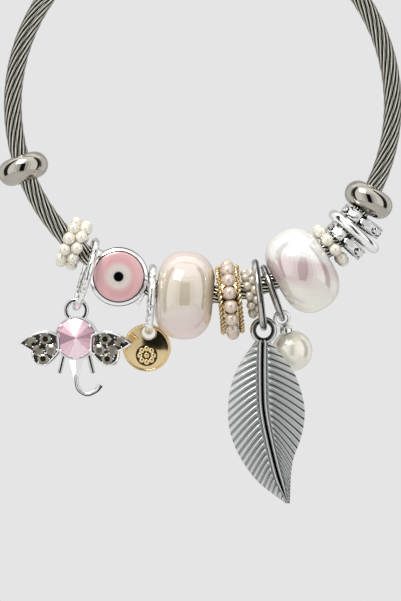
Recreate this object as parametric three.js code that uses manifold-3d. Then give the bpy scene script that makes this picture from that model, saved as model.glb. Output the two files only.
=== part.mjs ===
// Charm bangle: a loop of twisted steel cable threaded with beads, pearl rings and spacers, with an elephant,
// a coin, a leaf and a pearl hanging from rings. Millimetres, +Z up, and the charms face -Y.
// The origin is where the bangle hangs: the underside of its clasp sleeve, at the top of the loop.
import * as THREE from "three";
import { mergeVertices } from "three/addons/utils/BufferGeometryUtils.js";
import Module from "manifold-3d";

const wasm = await Module();
wasm.setup();

const degree = Math.PI / 180;
const mergeDistance = 1e-4;

// Driving dimensions. An angle on the loop runs from its lowest point towards +X, in degrees.
const loop = { radius: 30.4, cable: 1.45, cableSides: 8, cableSteps: 60, endGap: 0.5 };
const sleeve = { radius: 2.3, bore: 1.8, halfAngle: 10, sides: 12, steps: 6 };

// Where the threaded pieces stand on the loop, how far each hangs outwards on the cable and how far it tilts.
const places = {
  stopper_left: { angle: -70.4, sag: 0.1 },
  seed_ring_left: { angle: -43.3, sag: 0, tilt: 21 },
  eye_bead: { angle: -25.9, sag: 0.2 },
  bead_cream: { angle: -5.4, sag: 0.23 },
  gold_ring: { angle: 7.9, sag: 1.1, tilt: -2.7 },
  seed_ring_middle: { angle: 14.6, sag: 0.7, tilt: -3 },
  bead_iridescent: { angle: 31.0, sag: 0.5 },
  seed_ring_right: { angle: 42.25, sag: 0, tilt: -3 },
  crystal_rondelle_lower: { angle: 46.35, sag: 1.1 },
  plain_spacer: { angle: 50.0, sag: 1.15 },
  crystal_rondelle_upper: { angle: 53.65, sag: 1.1 },
  stopper_right: { angle: 60.2, sag: 0.16 },
};

const stopper = { edge: 2.1, middle: 2.0, bore: 1.85, sides: 16, arcSteps: 6 };
const bead = { radius: 7.05, half: 4.9, power: 2.5, bore: 2.75, lip: 3.5, sides: 16, arcSteps: 10 };
const eye = {
  radius: 4.7, half: 3.2, recessRadius: 4.15, recessDepth: 0.45, chamfer: 0.35, bore: 2.3,
  collarRadius: 2.7, collarHalf: 4.85, domeRadius: 4.0, domeRise: 0.6, domeGap: 0.1,
  domeLatitudes: [30, 60, 90], sides: 24, boreSides: 12,
};
const goldRing = {
  rimRadius: 5.5, rimWire: 0.36, rimPlace: 1.5, floor: 4.1, bore: 2.9, sides: 20, rimSteps: 3,
  pearls: 16, pearl: 1.07, pearlRadius: 5.5, pearlSides: 10, pearlLatitudes: [-76, -38, 0, 38],
};
const rondelle = {
  radius: 3.65, half: 0.86, flange: 0.26, floor: 3.15, bore: 2.85, sides: 16,
  stones: 8, stoneShift: 0.25, stone: 0.58, stoneTable: 0.36, stoneRise: 0.42, stoneDepth: 0.2, stoneSides: 8,
};
const spacer = { radius: 5.0, half: 0.8, bore: 2.85, sides: 20, arcSteps: 6 };

// Rings of small pearls on a core: pearl is a pearl's radius and radius is that of the row's centre line.
const seedRings = {
  seed_ring_left: { rows: 2, count: 10, pearl: 0.94, radius: 3.36, spacing: 1.9, bore: 2.5, core: 2.95 },
  seed_ring_middle: { rows: 2, count: 13, pearl: 0.7, radius: 3.4, spacing: 1.05, bore: 2.4, core: 3.1 },
  seed_ring_right: { rows: 1, count: 10, pearl: 0.96, radius: 3.15, spacing: 1.55, bore: 2.0, core: 2.75 },
};
const seedFaces = { perPearl: 4, shoulder: 0.6, end: 0.98 };

// Rings round the cable: centre from the loop's centre, lean of the lower end, yaw of the front towards +X
// and swing of the whole drop to the front.
const rings = {
  elephant_bail: { x: -18.68, z: -27.15, radius: 5.45, wire: 0.62, lean: -16.6, yaw: 6, swing: 0 },
  coin_bail: { x: -8.33, z: -31.2, radius: 5.08, wire: 0.62, lean: -4.4, yaw: 4, swing: -12 },
  leaf_ring: { x: 9.05, z: -30.45, radius: 5.25, wire: 0.57, lean: 7.5, yaw: 0, swing: 4 },
  pearl_ring: { x: 11.25, z: -30.19, radius: 4.33, wire: 0.5, lean: 20.2, yaw: 0, swing: -16 },
};
const ringFaces = { wire: 6, around: 24 };
const eyeletFaces = { wire: 6, around: 16 };
const linkGap = 0.18;

const elephant = {
  eyeletRadius: 1.68, eyeletWire: 0.36, eyeletRise: 4.45, yaw: -8,
  cupRadius: 3.5, cupFront: 0.45, cupBack: 0.9, seat: 0.35, seatGap: 0.12,
  stone: 3.2, stoneFront: 1.9, girdleFront: 0.75, girdleBack: 0.6, stoneTable: 0.5, stoneSides: 16,
  earThickness: 1.0, earMiddle: { x: 5.5, z: -1.25 }, earSteps: 6, recess: 0.86, recessDepth: 0.45,
  plate: 0.78, plateGap: 0.08,
  paveStone: 0.86, paveTable: 0.45, paveRise: 0.4, paveDepth: 0.18, paveSides: 8,
};
// An ear's outline on the +X side, with the control point of each bend. A stretch without one is straight.
const earRoot = { x: 2.5, z: 0.6 };
const earStretches = [
  { control: { x: 5.6, z: 2.3 }, x: 9.3, z: -0.8 },
  { x: 7.1, z: -2.1 },
  { control: { x: 7.2, z: -4.6 }, x: 5.3, z: -4.6 },
  { control: { x: 4.2, z: -4.5 }, x: 2.4, z: -2.2 },
];
const paveStones = [
  { x: 4.85, z: -0.1 },
  { x: 7.2, z: -0.45 },
  { x: 3.9, z: -1.85 },
  { x: 6.0, z: -1.95 },
  { x: 5.2, z: -3.3 },
];
const trunkStations = [
  { x: 0, z: -2.9, radius: 1.15 },
  { x: 0, z: -4.6, radius: 0.68 },
  { x: 0.02, z: -6.6, radius: 0.36 },
  { x: 0.4, z: -8.15, radius: 0.35 },
  { x: 1.71, z: -8.95, radius: 0.35 },
  { x: 3.05, z: -8.5, radius: 0.36 },
  { x: 3.65, z: -7.85, radius: 0.46 },
  { x: 3.95, z: -7.45, radius: 0.46 },
];
const tuskStations = [
  { x: 2.0, z: -2.6, radius: 0.4 },
  { x: 2.4, z: -4.2, radius: 0.3 },
  { x: 2.75, z: -5.6, radius: 0.14 },
];
const barFaces = { around: 6, perStation: 2 };

const coin = {
  x: -9.05, z: -39.1, radius: 3.85, half: 0.6, field: 0.45, rim: 0.4, edge: 0.15, hole: 1.12, collar: 1.4,
  collarHalf: 0.7, sides: 28, holeSides: 14, petals: 8, petalSteps: 4, rosette: 1.3, petalWave: 0.35,
  rosetteDrop: 1.1,
};

const leaf = {
  eyeletRadius: 1.68, eyeletWire: 0.5, veins: 17, veinLead: 0.17, veinRise: 0.22, front: 0.35, back: 0.3,
  marginFront: 0.12, middleFront: 0.28, ribRise: 0.4, ribGroove: 0.05, crest: 0.38, ribFoot: 0.75,
  curl: 0.45, curlWidth: 6,
};
// Down from the eyelet's centre, with the rib and both margins measured across.
const leafStations = [
  { down: 1.6, rib: -0.15, left: -1.2, right: 0.85 },
  { down: 4.5, rib: -0.22, left: -3.3, right: 3.2 },
  { down: 6.7, rib: -0.23, left: -4.5, right: 4.8 },
  { down: 9.4, rib: -0.2, left: -5.35, right: 5.85 },
  { down: 12.3, rib: -0.07, left: -5.7, right: 6.5 },
  { down: 15.0, rib: 0.33, left: -5.6, right: 6.4 },
  { down: 17.7, rib: 0.9, left: -4.95, right: 5.75 },
  { down: 20.4, rib: 1.53, left: -3.7, right: 4.75 },
  { down: 23.0, rib: 2.2, left: -1.95, right: 4.35 },
  { down: 25.0, rib: 2.85, left: 0.0, right: 4.25 },
  { down: 27.6, rib: 3.8, left: 3.5, right: 4.15 },
];

const pearlDrop = {
  eyeletRadius: 1.15, eyeletWire: 0.3, lean: 17.7, drop: 5.7,
  capRadius: 1.25, capTop: 1.3, capShoulder: 1.9, capRim: 2.25, capFloor: 2.3, capFloorRadius: 0.85,
  neck: 0.75, capSides: 14,
  pearl: 3.3, pearlSides: 16, pearlRows: 11, hole: 0.6, holeDepth: 2.5, holeSides: 10, peg: 0.35, pegEnd: 4.2,
};

const looks = {
  cableSteel: { color: 0x8f8d88, roughness: 0.3, metalness: 1 },
  polishedSteel: { color: 0xb9b8b6, roughness: 0.12, metalness: 1 },
  brightSilver: { color: 0xdcdcdc, roughness: 0.15, metalness: 1 },
  antiqueSilver: { color: 0xa4a7a6, roughness: 0.32, metalness: 1 },
  gold: { color: 0xd9b15c, roughness: 0.18, metalness: 1 },
  pearl: { color: 0xf1ebdd, roughness: 0.22, metalness: 0 },
  creamGlaze: { color: 0xf0e4da, roughness: 0.12, metalness: 0 },
  iridescentGlaze: { color: 0xf0e6ea, roughness: 0.08, metalness: 0 },
  pinkEnamel: { color: 0xd9a8ac, roughness: 0.1, metalness: 0 },
  pinkCrystal: { color: 0xecc3d6, roughness: 0.05, metalness: 0 },
  darkCrystal: { color: 0x4c4a46, roughness: 0.2, metalness: 0.6 },
};

// A closed mesh as a solid that can be joined and cut.
function solidOf(geometry) {
  const bare = new THREE.BufferGeometry();
  bare.setAttribute("position", geometry.getAttribute("position"));
  bare.setIndex(geometry.index);
  const merged = mergeVertices(bare, mergeDistance);
  const vertProperties = merged.getAttribute("position").array;
  const triVerts = new Uint32Array(merged.index.array);
  return new wasm.Manifold(new wasm.Mesh({ numProp: 3, vertProperties, triVerts }));
}

function geometryOf(solid) {
  const { vertProperties, triVerts } = solid.getMesh();
  const geometry = new THREE.BufferGeometry();
  geometry.setAttribute("position", new THREE.BufferAttribute(vertProperties, 3));
  geometry.setIndex(new THREE.BufferAttribute(triVerts, 1));
  geometry.computeVertexNormals();
  return geometry;
}

function fused(...geometries) {
  return geometryOf(geometries.map(solidOf).reduce((whole, solid) => whole.add(solid)));
}

function cut(geometry, ...tools) {
  return geometryOf(tools.map(solidOf).reduce((whole, tool) => whole.subtract(tool), solidOf(geometry)));
}

// A body turned about Z from a profile of [radius, z] points that runs up its outer side.
function turned(profile, sides) {
  const points = profile.map(([radius, z]) => new THREE.Vector2(radius, z));
  const bored = points[0].x > 0;
  return new THREE.LatheGeometry(bored ? [...points, points[0]] : points, sides).rotateX(Math.PI / 2);
}

// Points of a round stretch of a profile, by angle in degrees from straight outwards.
function arc(radius, z, bend, from, to, steps) {
  return Array.from({ length: steps + 1 }, (_, i) => {
    const a = THREE.MathUtils.lerp(from, to, i / steps) * degree;
    return [radius + bend * Math.cos(a), z + bend * Math.sin(a)];
  });
}

// A body modelled with its face up, +Z, turned to face the front, -Y.
function facingFront(geometry) {
  return geometry.rotateX(Math.PI / 2);
}

function rod(radius, length, sides) {
  return new THREE.CylinderGeometry(radius, radius, length, sides).rotateX(Math.PI / 2);
}

function eyelet(radius, wire) {
  return facingFront(new THREE.TorusGeometry(radius, wire, eyeletFaces.wire, eyeletFaces.around));
}

function cutStone(girdle, table, rise, depth, sides) {
  return turned([[0, -depth], [girdle, 0], [table, rise], [0, rise]], sides);
}

// The sides of a body through rows of points, each row going round once. The last row may join the first.
function loftIndex(rowCount, count, joined) {
  const index = [];
  for (let i = 0; i < (joined ? rowCount : rowCount - 1); i++) {
    const near = i * count;
    const far = ((i + 1) % rowCount) * count;
    for (let j = 0; j < count; j++) {
      const next = (j + 1) % count;
      index.push(near + j, near + next, far + next, near + j, far + next, far + j);
    }
  }
  return index;
}

// A ring-shaped body through rows of points that lead back to the first row.
function closedLoft(rows) {
  return new THREE.BufferGeometry()
    .setFromPoints(rows.flat())
    .setIndex(loftIndex(rows.length, rows[0].length, true));
}

// A body through rows of points, each row anticlockwise seen from the far end, closed at both ends.
function lofted(rows) {
  const count = rows[0].length;
  const middle = (row) => row.reduce((sum, p) => sum.add(p), new THREE.Vector3()).divideScalar(count);
  const points = [...rows.flat(), middle(rows[0]), middle(rows.at(-1))];
  const first = points.length - 2;
  const last = first - count;
  const index = loftIndex(rows.length, count, false);
  for (let j = 0; j < count; j++) {
    const next = (j + 1) % count;
    index.push(first, next, j, first + 1, last + j, last + next);
  }
  return new THREE.BufferGeometry().setFromPoints(points).setIndex(index);
}

// A round bar in the XZ plane through stations of place and radius. Its curve carries the radius in y.
function taperedBar(stations, side = 1) {
  const curve = new THREE.CatmullRomCurve3(
    stations.map(({ x, z, radius }) => new THREE.Vector3(side * x, radius, z)),
  );
  const points = curve.getPoints((stations.length - 1) * barFaces.perStation);
  const rows = points.map((point, i) => {
    const before = points[Math.max(i - 1, 0)];
    const after = points[Math.min(i + 1, points.length - 1)];
    const along = after.clone().sub(before).setY(0).normalize();
    return Array.from({ length: barFaces.around }, (_, j) => {
      const a = (j / barFaces.around) * 2 * Math.PI;
      const across = point.y * Math.cos(a);
      return new THREE.Vector3(point.x + across * along.z, point.y * Math.sin(a), point.z - across * along.x);
    });
  });
  return lofted(rows);
}

class LoopArc extends THREE.Curve {
  constructor(halfAngle, middle) {
    super();
    this.halfAngle = halfAngle;
    this.middle = middle;
  }
  getPoint(t, target = new THREE.Vector3()) {
    return target.copy(onLoop(this.middle + this.halfAngle * (2 * t - 1), 0));
  }
}

function onLoop(angle, sag) {
  const reach = loop.radius + sag;
  return new THREE.Vector3(Math.sin(angle * degree) * reach, 0, -Math.cos(angle * degree) * reach);
}

function roundPath(radius, sides, Path) {
  const points = Array.from({ length: sides }, (_, i) => {
    const a = (i / sides) * 2 * Math.PI;
    return new THREE.Vector2(radius * Math.cos(a), radius * Math.sin(a));
  });
  return new Path(points);
}

function makeCable() {
  const section = roundPath(loop.cable, loop.cableSides, THREE.Shape);
  const endAngle = loop.endGap / 2 / loop.radius / degree;
  const extrudePath = new LoopArc(180 - endAngle, 0);
  return new THREE.ExtrudeGeometry(section, { extrudePath, steps: loop.cableSteps });
}

function makeSleeve() {
  const section = roundPath(sleeve.radius, sleeve.sides, THREE.Shape);
  section.holes.push(roundPath(sleeve.bore, sleeve.sides, THREE.Path));
  const extrudePath = new LoopArc(sleeve.halfAngle, 180);
  return new THREE.ExtrudeGeometry(section, { extrudePath, steps: sleeve.steps });
}

function makeStopper() {
  const { edge, middle, bore, sides, arcSteps } = stopper;
  return turned([[bore, -edge], ...arc(middle, 0, edge, -90, 90, arcSteps), [bore, edge]], sides);
}

// A ring of seed pearls as one surface: a core with the pearls' round tops standing out of it.
function makeSeedRing({ rows, count, pearl, radius, spacing, bore, core }) {
  const rowPlaces = Array.from({ length: rows }, (_, row) => (row - (rows - 1) / 2) * spacing);
  const edge = rowPlaces.at(-1) + pearl * seedFaces.end;
  const shoulder = pearl * seedFaces.shoulder;
  const stations = [-edge, ...rowPlaces.flatMap((z) => [z - shoulder, z, z + shoulder]), edge];
  const pitch = (2 * Math.PI) / count;
  const steps = count * seedFaces.perPearl;
  const reach = (a, z) => {
    const tops = rowPlaces.map((place, row) => {
      const turn = a / pitch - row / 2;
      const around = (turn - Math.round(turn)) * pitch * radius;
      return pearl ** 2 - around ** 2 - (z - place) ** 2;
    });
    const height = Math.sqrt(Math.max(0, ...tops));
    return Math.max(core, height ? radius + height : core);
  };
  const rings = Array.from({ length: steps }, (_, i) => {
    const a = (i / steps) * 2 * Math.PI;
    const at = (r, z) => new THREE.Vector3(r * Math.cos(a), r * Math.sin(a), z);
    return [at(bore, edge), ...stations.map((z) => at(reach(a, -z), -z)), at(bore, -edge)];
  });
  return closedLoft(rings);
}

// A barrel bead whose outline is a superellipse that ends at the lip round its bore.
function makeBead() {
  const { radius, half, power, bore, lip, sides, arcSteps } = bead;
  const lipAngle = Math.acos((lip / radius) ** (power / 2));
  const outline = Array.from({ length: arcSteps + 1 }, (_, i) => {
    const a = THREE.MathUtils.lerp(-lipAngle, lipAngle, i / arcSteps);
    return [radius * Math.cos(a) ** (2 / power), Math.sign(a) * half * Math.abs(Math.sin(a)) ** (2 / power)];
  });
  const end = outline.at(-1)[1];
  return turned([[bore, -end], ...outline, [bore, end]], sides);
}

function makeEyeFrame() {
  const { radius, half, recessRadius, recessDepth, chamfer, sides } = eye;
  const floor = half - recessDepth;
  const bevel = [[radius, half - chamfer], [radius - chamfer, half]];
  const upper = [...bevel, [recessRadius, half], [recessRadius, floor]];
  const lower = upper.map(([r, z]) => [r, -z]).reverse();
  const drum = facingFront(turned([[0, -floor], ...lower, ...upper, [0, floor]], sides));
  const collar = rod(eye.collarRadius, 2 * eye.collarHalf, eye.boreSides);
  return cut(fused(drum, collar), rod(eye.bore, 3 * radius, eye.boreSides));
}

function makeEyeDome(side) {
  const { half, recessDepth, domeRadius, domeRise, domeGap, domeLatitudes, sides } = eye;
  const base = half - recessDepth + domeGap;
  const crown = domeLatitudes.map((latitude) => {
    const a = latitude * degree;
    return [domeRadius * Math.cos(a), half + domeRise * Math.sin(a)];
  });
  const dome = turned([[0, base], [domeRadius, base], [domeRadius, half], ...crown], sides);
  return dome.rotateX((side * Math.PI) / 2);
}

function makeGoldFrame() {
  const { rimRadius, rimWire, rimPlace, rimSteps, floor, bore, sides } = goldRing;
  const crest = rimRadius - rimWire;
  const outer = rimPlace + rimWire;
  const inner = rimPlace - rimWire;
  const lower = [...arc(crest, -rimPlace, rimWire, -90, 90, rimSteps), [floor, -inner]];
  const upper = [[floor, inner], ...arc(crest, rimPlace, rimWire, -90, 90, rimSteps)];
  return turned([[bore, -outer], ...lower, ...upper, [bore, outer]], sides);
}

// Pearls strung in a ring, each one round between the narrow necks that join them.
function makeGoldPearls() {
  const { pearls, pearl, pearlRadius, pearlSides, pearlLatitudes: latitudes } = goldRing;
  const rows = Array.from({ length: pearls * latitudes.length }, (_, i) => {
    const latitude = latitudes[i % latitudes.length] * degree;
    const middle = ((Math.floor(i / latitudes.length) + 0.5) / pearls) * 2 * Math.PI;
    const a = middle + (pearl * Math.sin(latitude)) / pearlRadius;
    return Array.from({ length: pearlSides }, (_, j) => {
      const b = (j / pearlSides) * 2 * Math.PI;
      const section = pearl * Math.cos(latitude);
      const reach = pearlRadius + section * Math.cos(b);
      return new THREE.Vector3(reach * Math.cos(a), reach * Math.sin(a), -section * Math.sin(b));
    });
  });
  return closedLoft(rows);
}

function makeRondelle() {
  const { radius, half, flange, floor, bore, sides, stones, stoneShift } = rondelle;
  const inner = half - flange;
  const lower = [[bore, -half], [radius, -half], [radius, -inner], [floor, -inner]];
  const upper = lower.map(([r, z]) => [r, -z]).reverse();
  const parts = [turned([...lower, ...upper], sides)];
  for (let i = 0; i < stones; i++) {
    const { stone, stoneTable, stoneRise, stoneDepth, stoneSides } = rondelle;
    const cutGem = cutStone(stone, stoneTable, stoneRise, stoneDepth, stoneSides).rotateY(Math.PI / 2);
    parts.push(cutGem.translate(floor, 0, 0).rotateZ(((i + stoneShift) / stones) * 2 * Math.PI));
  }
  return fused(...parts);
}

function makeSpacer() {
  const { radius, half, bore, sides, arcSteps } = spacer;
  return turned([[bore, -half], ...arc(radius - half, 0, half, -90, 90, arcSteps), [bore, half]], sides);
}

function earOutline(side) {
  const outline = new THREE.Shape();
  outline.moveTo(side * earRoot.x, earRoot.z);
  for (const { control, x, z } of earStretches) {
    if (control) {
      outline.quadraticCurveTo(side * control.x, control.z, side * x, z);
    } else {
      outline.lineTo(side * x, z);
    }
  }
  return outline;
}

// An ear's outline as a plate, drawn in or not towards its middle, with its back on y = 0.
function earPlate(side, scale, depth) {
  const { x, z } = elephant.earMiddle;
  const solid = { depth, bevelEnabled: false, curveSegments: elephant.earSteps };
  const plate = new THREE.ExtrudeGeometry(earOutline(side), solid);
  plate.translate(-side * x, -z, 0).scale(scale, scale, 1).translate(side * x, z, 0);
  return facingFront(plate);
}

// The room in front of the cup that the elephant's round stone sits in.
function stoneRoom(gap) {
  const { stone, girdleBack, seat, cupFront, stoneFront, stoneSides } = elephant;
  const radius = stone + gap;
  const profile = [[0, -cupFront - seat], [radius, girdleBack - seat], [radius, stoneFront], [0, stoneFront]];
  return facingFront(turned(profile, stoneSides));
}

function makeElephantBody() {
  const { cupRadius, cupFront, cupBack, seatGap, stoneSides, earThickness, recess, recessDepth } = elephant;
  const profile = [[0, -cupBack], [cupRadius, -cupBack], [cupRadius, cupFront], [0, cupFront]];
  const cup = facingFront(turned(profile, stoneSides));
  const ears = [-1, 1].map((side) => {
    const hollow = earPlate(side, recess, earThickness).translate(0, recessDepth - earThickness, 0);
    return cut(earPlate(side, 1, earThickness), hollow);
  });
  const hook = eyelet(elephant.eyeletRadius, elephant.eyeletWire).translate(0, 0, elephant.eyeletRise);
  const tusks = [-1, 1].map((side) => taperedBar(tuskStations, side));
  return cut(fused(cup, ...ears, taperedBar(trunkStations), ...tusks, hook), stoneRoom(seatGap));
}

function makeElephantStone() {
  const { stone, stoneTable, stoneFront, girdleFront, girdleBack, cupFront, stoneSides } = elephant;
  const girdle = [[stone, girdleBack], [stone, girdleFront]];
  const profile = [[0, -cupFront], ...girdle, [stoneTable, stoneFront], [0, stoneFront]];
  return facingFront(turned(profile, stoneSides));
}

// Small cut stones in a thin plate that lies in the ear's recess, their girdles just over the ear's face.
function makeEarStones(side) {
  const { earThickness, recessDepth, plate, plateGap } = elephant;
  const { paveStone, paveTable, paveRise, paveDepth, paveSides } = elephant;
  const floor = earThickness - recessDepth + plateGap;
  const parts = [earPlate(side, plate, recessDepth - 2 * plateGap).translate(0, -floor, 0)];
  for (const { x, z } of paveStones) {
    const gem = facingFront(cutStone(paveStone, paveTable, paveRise, paveDepth, paveSides));
    parts.push(gem.translate(side * x, -earThickness - plateGap, z));
  }
  return cut(fused(...parts), stoneRoom(2 * elephant.seatGap));
}

// A petalled rosette as a low plate, its face up.
function makeRosette(depth) {
  const { petals, petalSteps, rosette, petalWave } = coin;
  const points = Array.from({ length: petals * petalSteps }, (_, i) => {
    const a = (i / (petals * petalSteps)) * 2 * Math.PI;
    const reach = rosette + petalWave * Math.cos(petals * a);
    return new THREE.Vector2(reach * Math.sin(a), reach * Math.cos(a));
  });
  return new THREE.ExtrudeGeometry(new THREE.Shape(points), { depth, bevelEnabled: false });
}

function makeCoin(holePlace) {
  const { radius, half, field, rim, edge, collar, collarHalf, hole, sides, holeSides } = coin;
  const bevel = [[radius, half - edge], [radius - edge, half]];
  const upper = [...bevel, [radius - rim, half], [radius - 2 * rim, field]];
  const lower = upper.map(([r, z]) => [r, -z]).reverse();
  const disc = facingFront(turned([[0, -field], ...lower, ...upper, [0, field]], sides));
  const throughCoin = (r, length) => {
    return facingFront(rod(r, length, holeSides)).translate(holePlace.x, 0, holePlace.z);
  };
  const rosette = facingFront(makeRosette(half)).translate(0, 0, -coin.rosetteDrop);
  return cut(fused(disc, throughCoin(collar, 2 * collarHalf), rosette), throughCoin(hole, 4 * half));
}

// One row of the leaf: from the rib outwards and down along a vein, on the front, and flat on the back.
function leafRow(ribPlace, marginPlace, rise, shape) {
  const { front, middleFront, marginFront, back, ribRise, ribGroove, crest, ribFoot, curl, curlWidth } = leaf;
  const [rib] = shape.evaluate(ribPlace);
  const margins = shape.evaluate(marginPlace);
  const narrow = Math.min(1, (margins[2] - margins[1]) / (4 * ribFoot));
  const half = (side) => {
    const marginX = side < 0 ? margins[1] : margins[2];
    const footX = rib + side * ribFoot * narrow;
    const middle = { x: (footX + marginX) / 2, down: (ribPlace + marginPlace) / 2 };
    return [
      { x: marginX, down: marginPlace, front: marginFront + rise / 2 },
      { x: middle.x, down: middle.down, front: middleFront + rise },
      { x: footX, down: ribPlace, front: front + rise / 2 },
      { x: rib + side * crest * narrow, down: ribPlace, front: front + ribRise },
    ];
  };
  const across = [...half(-1), { x: rib, down: ribPlace, front: front + ribGroove }, ...half(1).reverse()];
  const bend = ({ x }) => curl * ((x - rib) / curlWidth) ** 2;
  const backRow = across.map((p) => new THREE.Vector3(p.x, back + bend(p), -p.down));
  const frontRow = across.map((p) => new THREE.Vector3(p.x, bend(p) - p.front, -p.down));
  return [...backRow, ...frontRow.reverse()];
}

function makeLeaf() {
  const downs = leafStations.map(({ down }) => down);
  const values = leafStations.flatMap(({ rib, left, right }) => [rib, left, right]);
  const shape = new THREE.CubicInterpolant(downs, values, 3);
  const [top, tip] = [downs[0], downs.at(-1)];
  const rowCount = 2 * leaf.veins;
  const rows = Array.from({ length: rowCount + 1 }, (_, i) => {
    const t = i / rowCount;
    const lead = t + leaf.veinLead * Math.sin(Math.PI * t);
    const place = (share) => Math.min(THREE.MathUtils.lerp(top, tip, share), tip);
    return leafRow(place(t), place(lead), i % 2 ? leaf.veinRise : 0, shape);
  });
  return fused(lofted(rows), eyelet(leaf.eyeletRadius, leaf.eyeletWire));
}

// The pearl's cap with its eyelet and the peg that goes into the pearl, along -Z from the eyelet's centre.
function makePearlCap() {
  const { capRadius, capTop, capShoulder, capRim, capFloor, capFloorRadius, capSides } = pearlDrop;
  const { neck, peg, pegEnd } = pearlDrop;
  const profile = [
    [0, -pegEnd], [peg, -pegEnd], [peg, -capFloor], [capFloorRadius, -capFloor],
    [capRadius, -capRim], [capRadius, -capShoulder], [neck, -capTop], [0, -capTop],
  ];
  return fused(turned(profile, capSides), eyelet(pearlDrop.eyeletRadius, pearlDrop.eyeletWire));
}

function makeDropPearl() {
  const { pearl, pearlSides, pearlRows, hole, holeDepth, holeSides } = pearlDrop;
  const ball = new THREE.SphereGeometry(pearl, pearlSides, pearlRows).rotateX(Math.PI / 2);
  return cut(ball, rod(hole, 2 * holeDepth, holeSides).translate(0, 0, pearl));
}

function addPiece(parent, name, geometry, look) {
  const mesh = new THREE.Mesh(geometry, new THREE.MeshStandardMaterial(look));
  mesh.name = name;
  parent.add(mesh);
  return mesh;
}

// A group at a point of the XZ plane with its X axis along the lean, measured from -Z towards +X.
function leaning(parent, x, z, lean) {
  const group = new THREE.Group();
  group.position.set(x, 0, z);
  group.rotation.y = Math.PI / 2 - lean * degree;
  parent.add(group);
  return group;
}

function threaded(parent, name) {
  const { angle, sag, tilt = 0 } = places[name];
  const { x, z } = onLoop(angle, sag);
  return leaning(parent, x, z, angle + tilt);
}

// Where the plane of a leaning ring meets the loop, as an angle on the loop.
function crossingAngle({ x, z, lean }) {
  const offset = x * Math.cos(lean * degree) + z * Math.sin(lean * degree);
  return lean + Math.asin(offset / loop.radius) / degree;
}

// The lowest point of a ring's wire.
function ringFoot({ x, z, radius, lean }) {
  return { x: x + radius * Math.sin(lean * degree), z: z - radius * Math.cos(lean * degree) };
}

// A group in the loop's own coordinates, turned about the cable where the ring crosses it.
function swung(parent, ring) {
  const angle = crossingAngle(ring);
  const pivot = onLoop(angle, 0);
  const tangent = new THREE.Vector3(Math.cos(angle * degree), 0, Math.sin(angle * degree));
  const hinge = new THREE.Group();
  hinge.position.copy(pivot);
  hinge.quaternion.setFromAxisAngle(tangent, -ring.swing * degree);
  const drop = new THREE.Group();
  drop.position.copy(pivot).negate();
  hinge.add(drop);
  parent.add(hinge);
  return drop;
}

function addRing(drop, name, look) {
  const { x, z, radius, wire, lean, yaw } = rings[name];
  const hoop = new THREE.TorusGeometry(radius, wire, ringFaces.wire, ringFaces.around);
  addPiece(leaning(drop, x, z, lean), name, hoop.rotateX(-yaw * degree), look);
}

// The centre of a hole that hangs on a ring's lowest wire with a small gap over it.
function hungHole(ring, holeRadius, lean = 0) {
  const foot = ringFoot(ring);
  const drop = holeRadius - ring.wire - linkGap;
  return { x: foot.x + drop * Math.sin(lean * degree), z: foot.z - drop * Math.cos(lean * degree) };
}

const charmBangle = new THREE.Group();
const bangle = new THREE.Group();
bangle.position.z = sleeve.radius - loop.radius;
charmBangle.add(bangle);

addPiece(bangle, "cable", makeCable(), looks.cableSteel);
addPiece(bangle, "clasp_sleeve", makeSleeve(), looks.polishedSteel);
for (const name of ["stopper_left", "stopper_right"]) {
  addPiece(threaded(bangle, name), name, makeStopper(), looks.polishedSteel);
}
for (const [name, sizes] of Object.entries(seedRings)) {
  addPiece(threaded(bangle, name), name, makeSeedRing(sizes), looks.pearl);
}
addPiece(threaded(bangle, "bead_cream"), "bead_cream", makeBead(), looks.creamGlaze);
addPiece(threaded(bangle, "bead_iridescent"), "bead_iridescent", makeBead(), looks.iridescentGlaze);
for (const name of ["crystal_rondelle_lower", "crystal_rondelle_upper"]) {
  addPiece(threaded(bangle, name), name, makeRondelle(), looks.brightSilver);
}
addPiece(threaded(bangle, "plain_spacer"), "plain_spacer", makeSpacer(), looks.brightSilver);

const eyePlace = threaded(bangle, "eye_bead");
addPiece(eyePlace, "eye_frame", makeEyeFrame(), looks.brightSilver);
addPiece(eyePlace, "eye_dome_front", makeEyeDome(1), looks.pinkEnamel);
addPiece(eyePlace, "eye_dome_back", makeEyeDome(-1), looks.pinkEnamel);

const goldPlace = threaded(bangle, "gold_ring");
addPiece(goldPlace, "gold_ring_frame", makeGoldFrame(), looks.gold);
addPiece(goldPlace, "gold_ring_pearls", makeGoldPearls(), looks.pearl);

const elephantDrop = swung(bangle, rings.elephant_bail);
addRing(elephantDrop, "elephant_bail", looks.brightSilver);
const elephantHook = hungHole(rings.elephant_bail, elephant.eyeletRadius - elephant.eyeletWire);
const elephantFigure = new THREE.Group();
elephantFigure.position.set(elephantHook.x, 0, elephantHook.z - elephant.eyeletRise);
elephantFigure.rotation.z = elephant.yaw * degree;
elephantDrop.add(elephantFigure);
addPiece(elephantFigure, "elephant_body", makeElephantBody(), looks.brightSilver);
addPiece(elephantFigure, "elephant_stone", makeElephantStone(), looks.pinkCrystal);
addPiece(elephantFigure, "ear_stones_left", makeEarStones(-1), looks.darkCrystal);
addPiece(elephantFigure, "ear_stones_right", makeEarStones(1), looks.darkCrystal);

const coinDrop = swung(bangle, rings.coin_bail);
addRing(coinDrop, "coin_bail", looks.brightSilver);
const coinHole = hungHole(rings.coin_bail, coin.hole);
const coinMesh = addPiece(
  coinDrop, "coin_charm", makeCoin({ x: coinHole.x - coin.x, z: coinHole.z - coin.z }), looks.gold,
);
coinMesh.position.set(coin.x, 0, coin.z);

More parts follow.
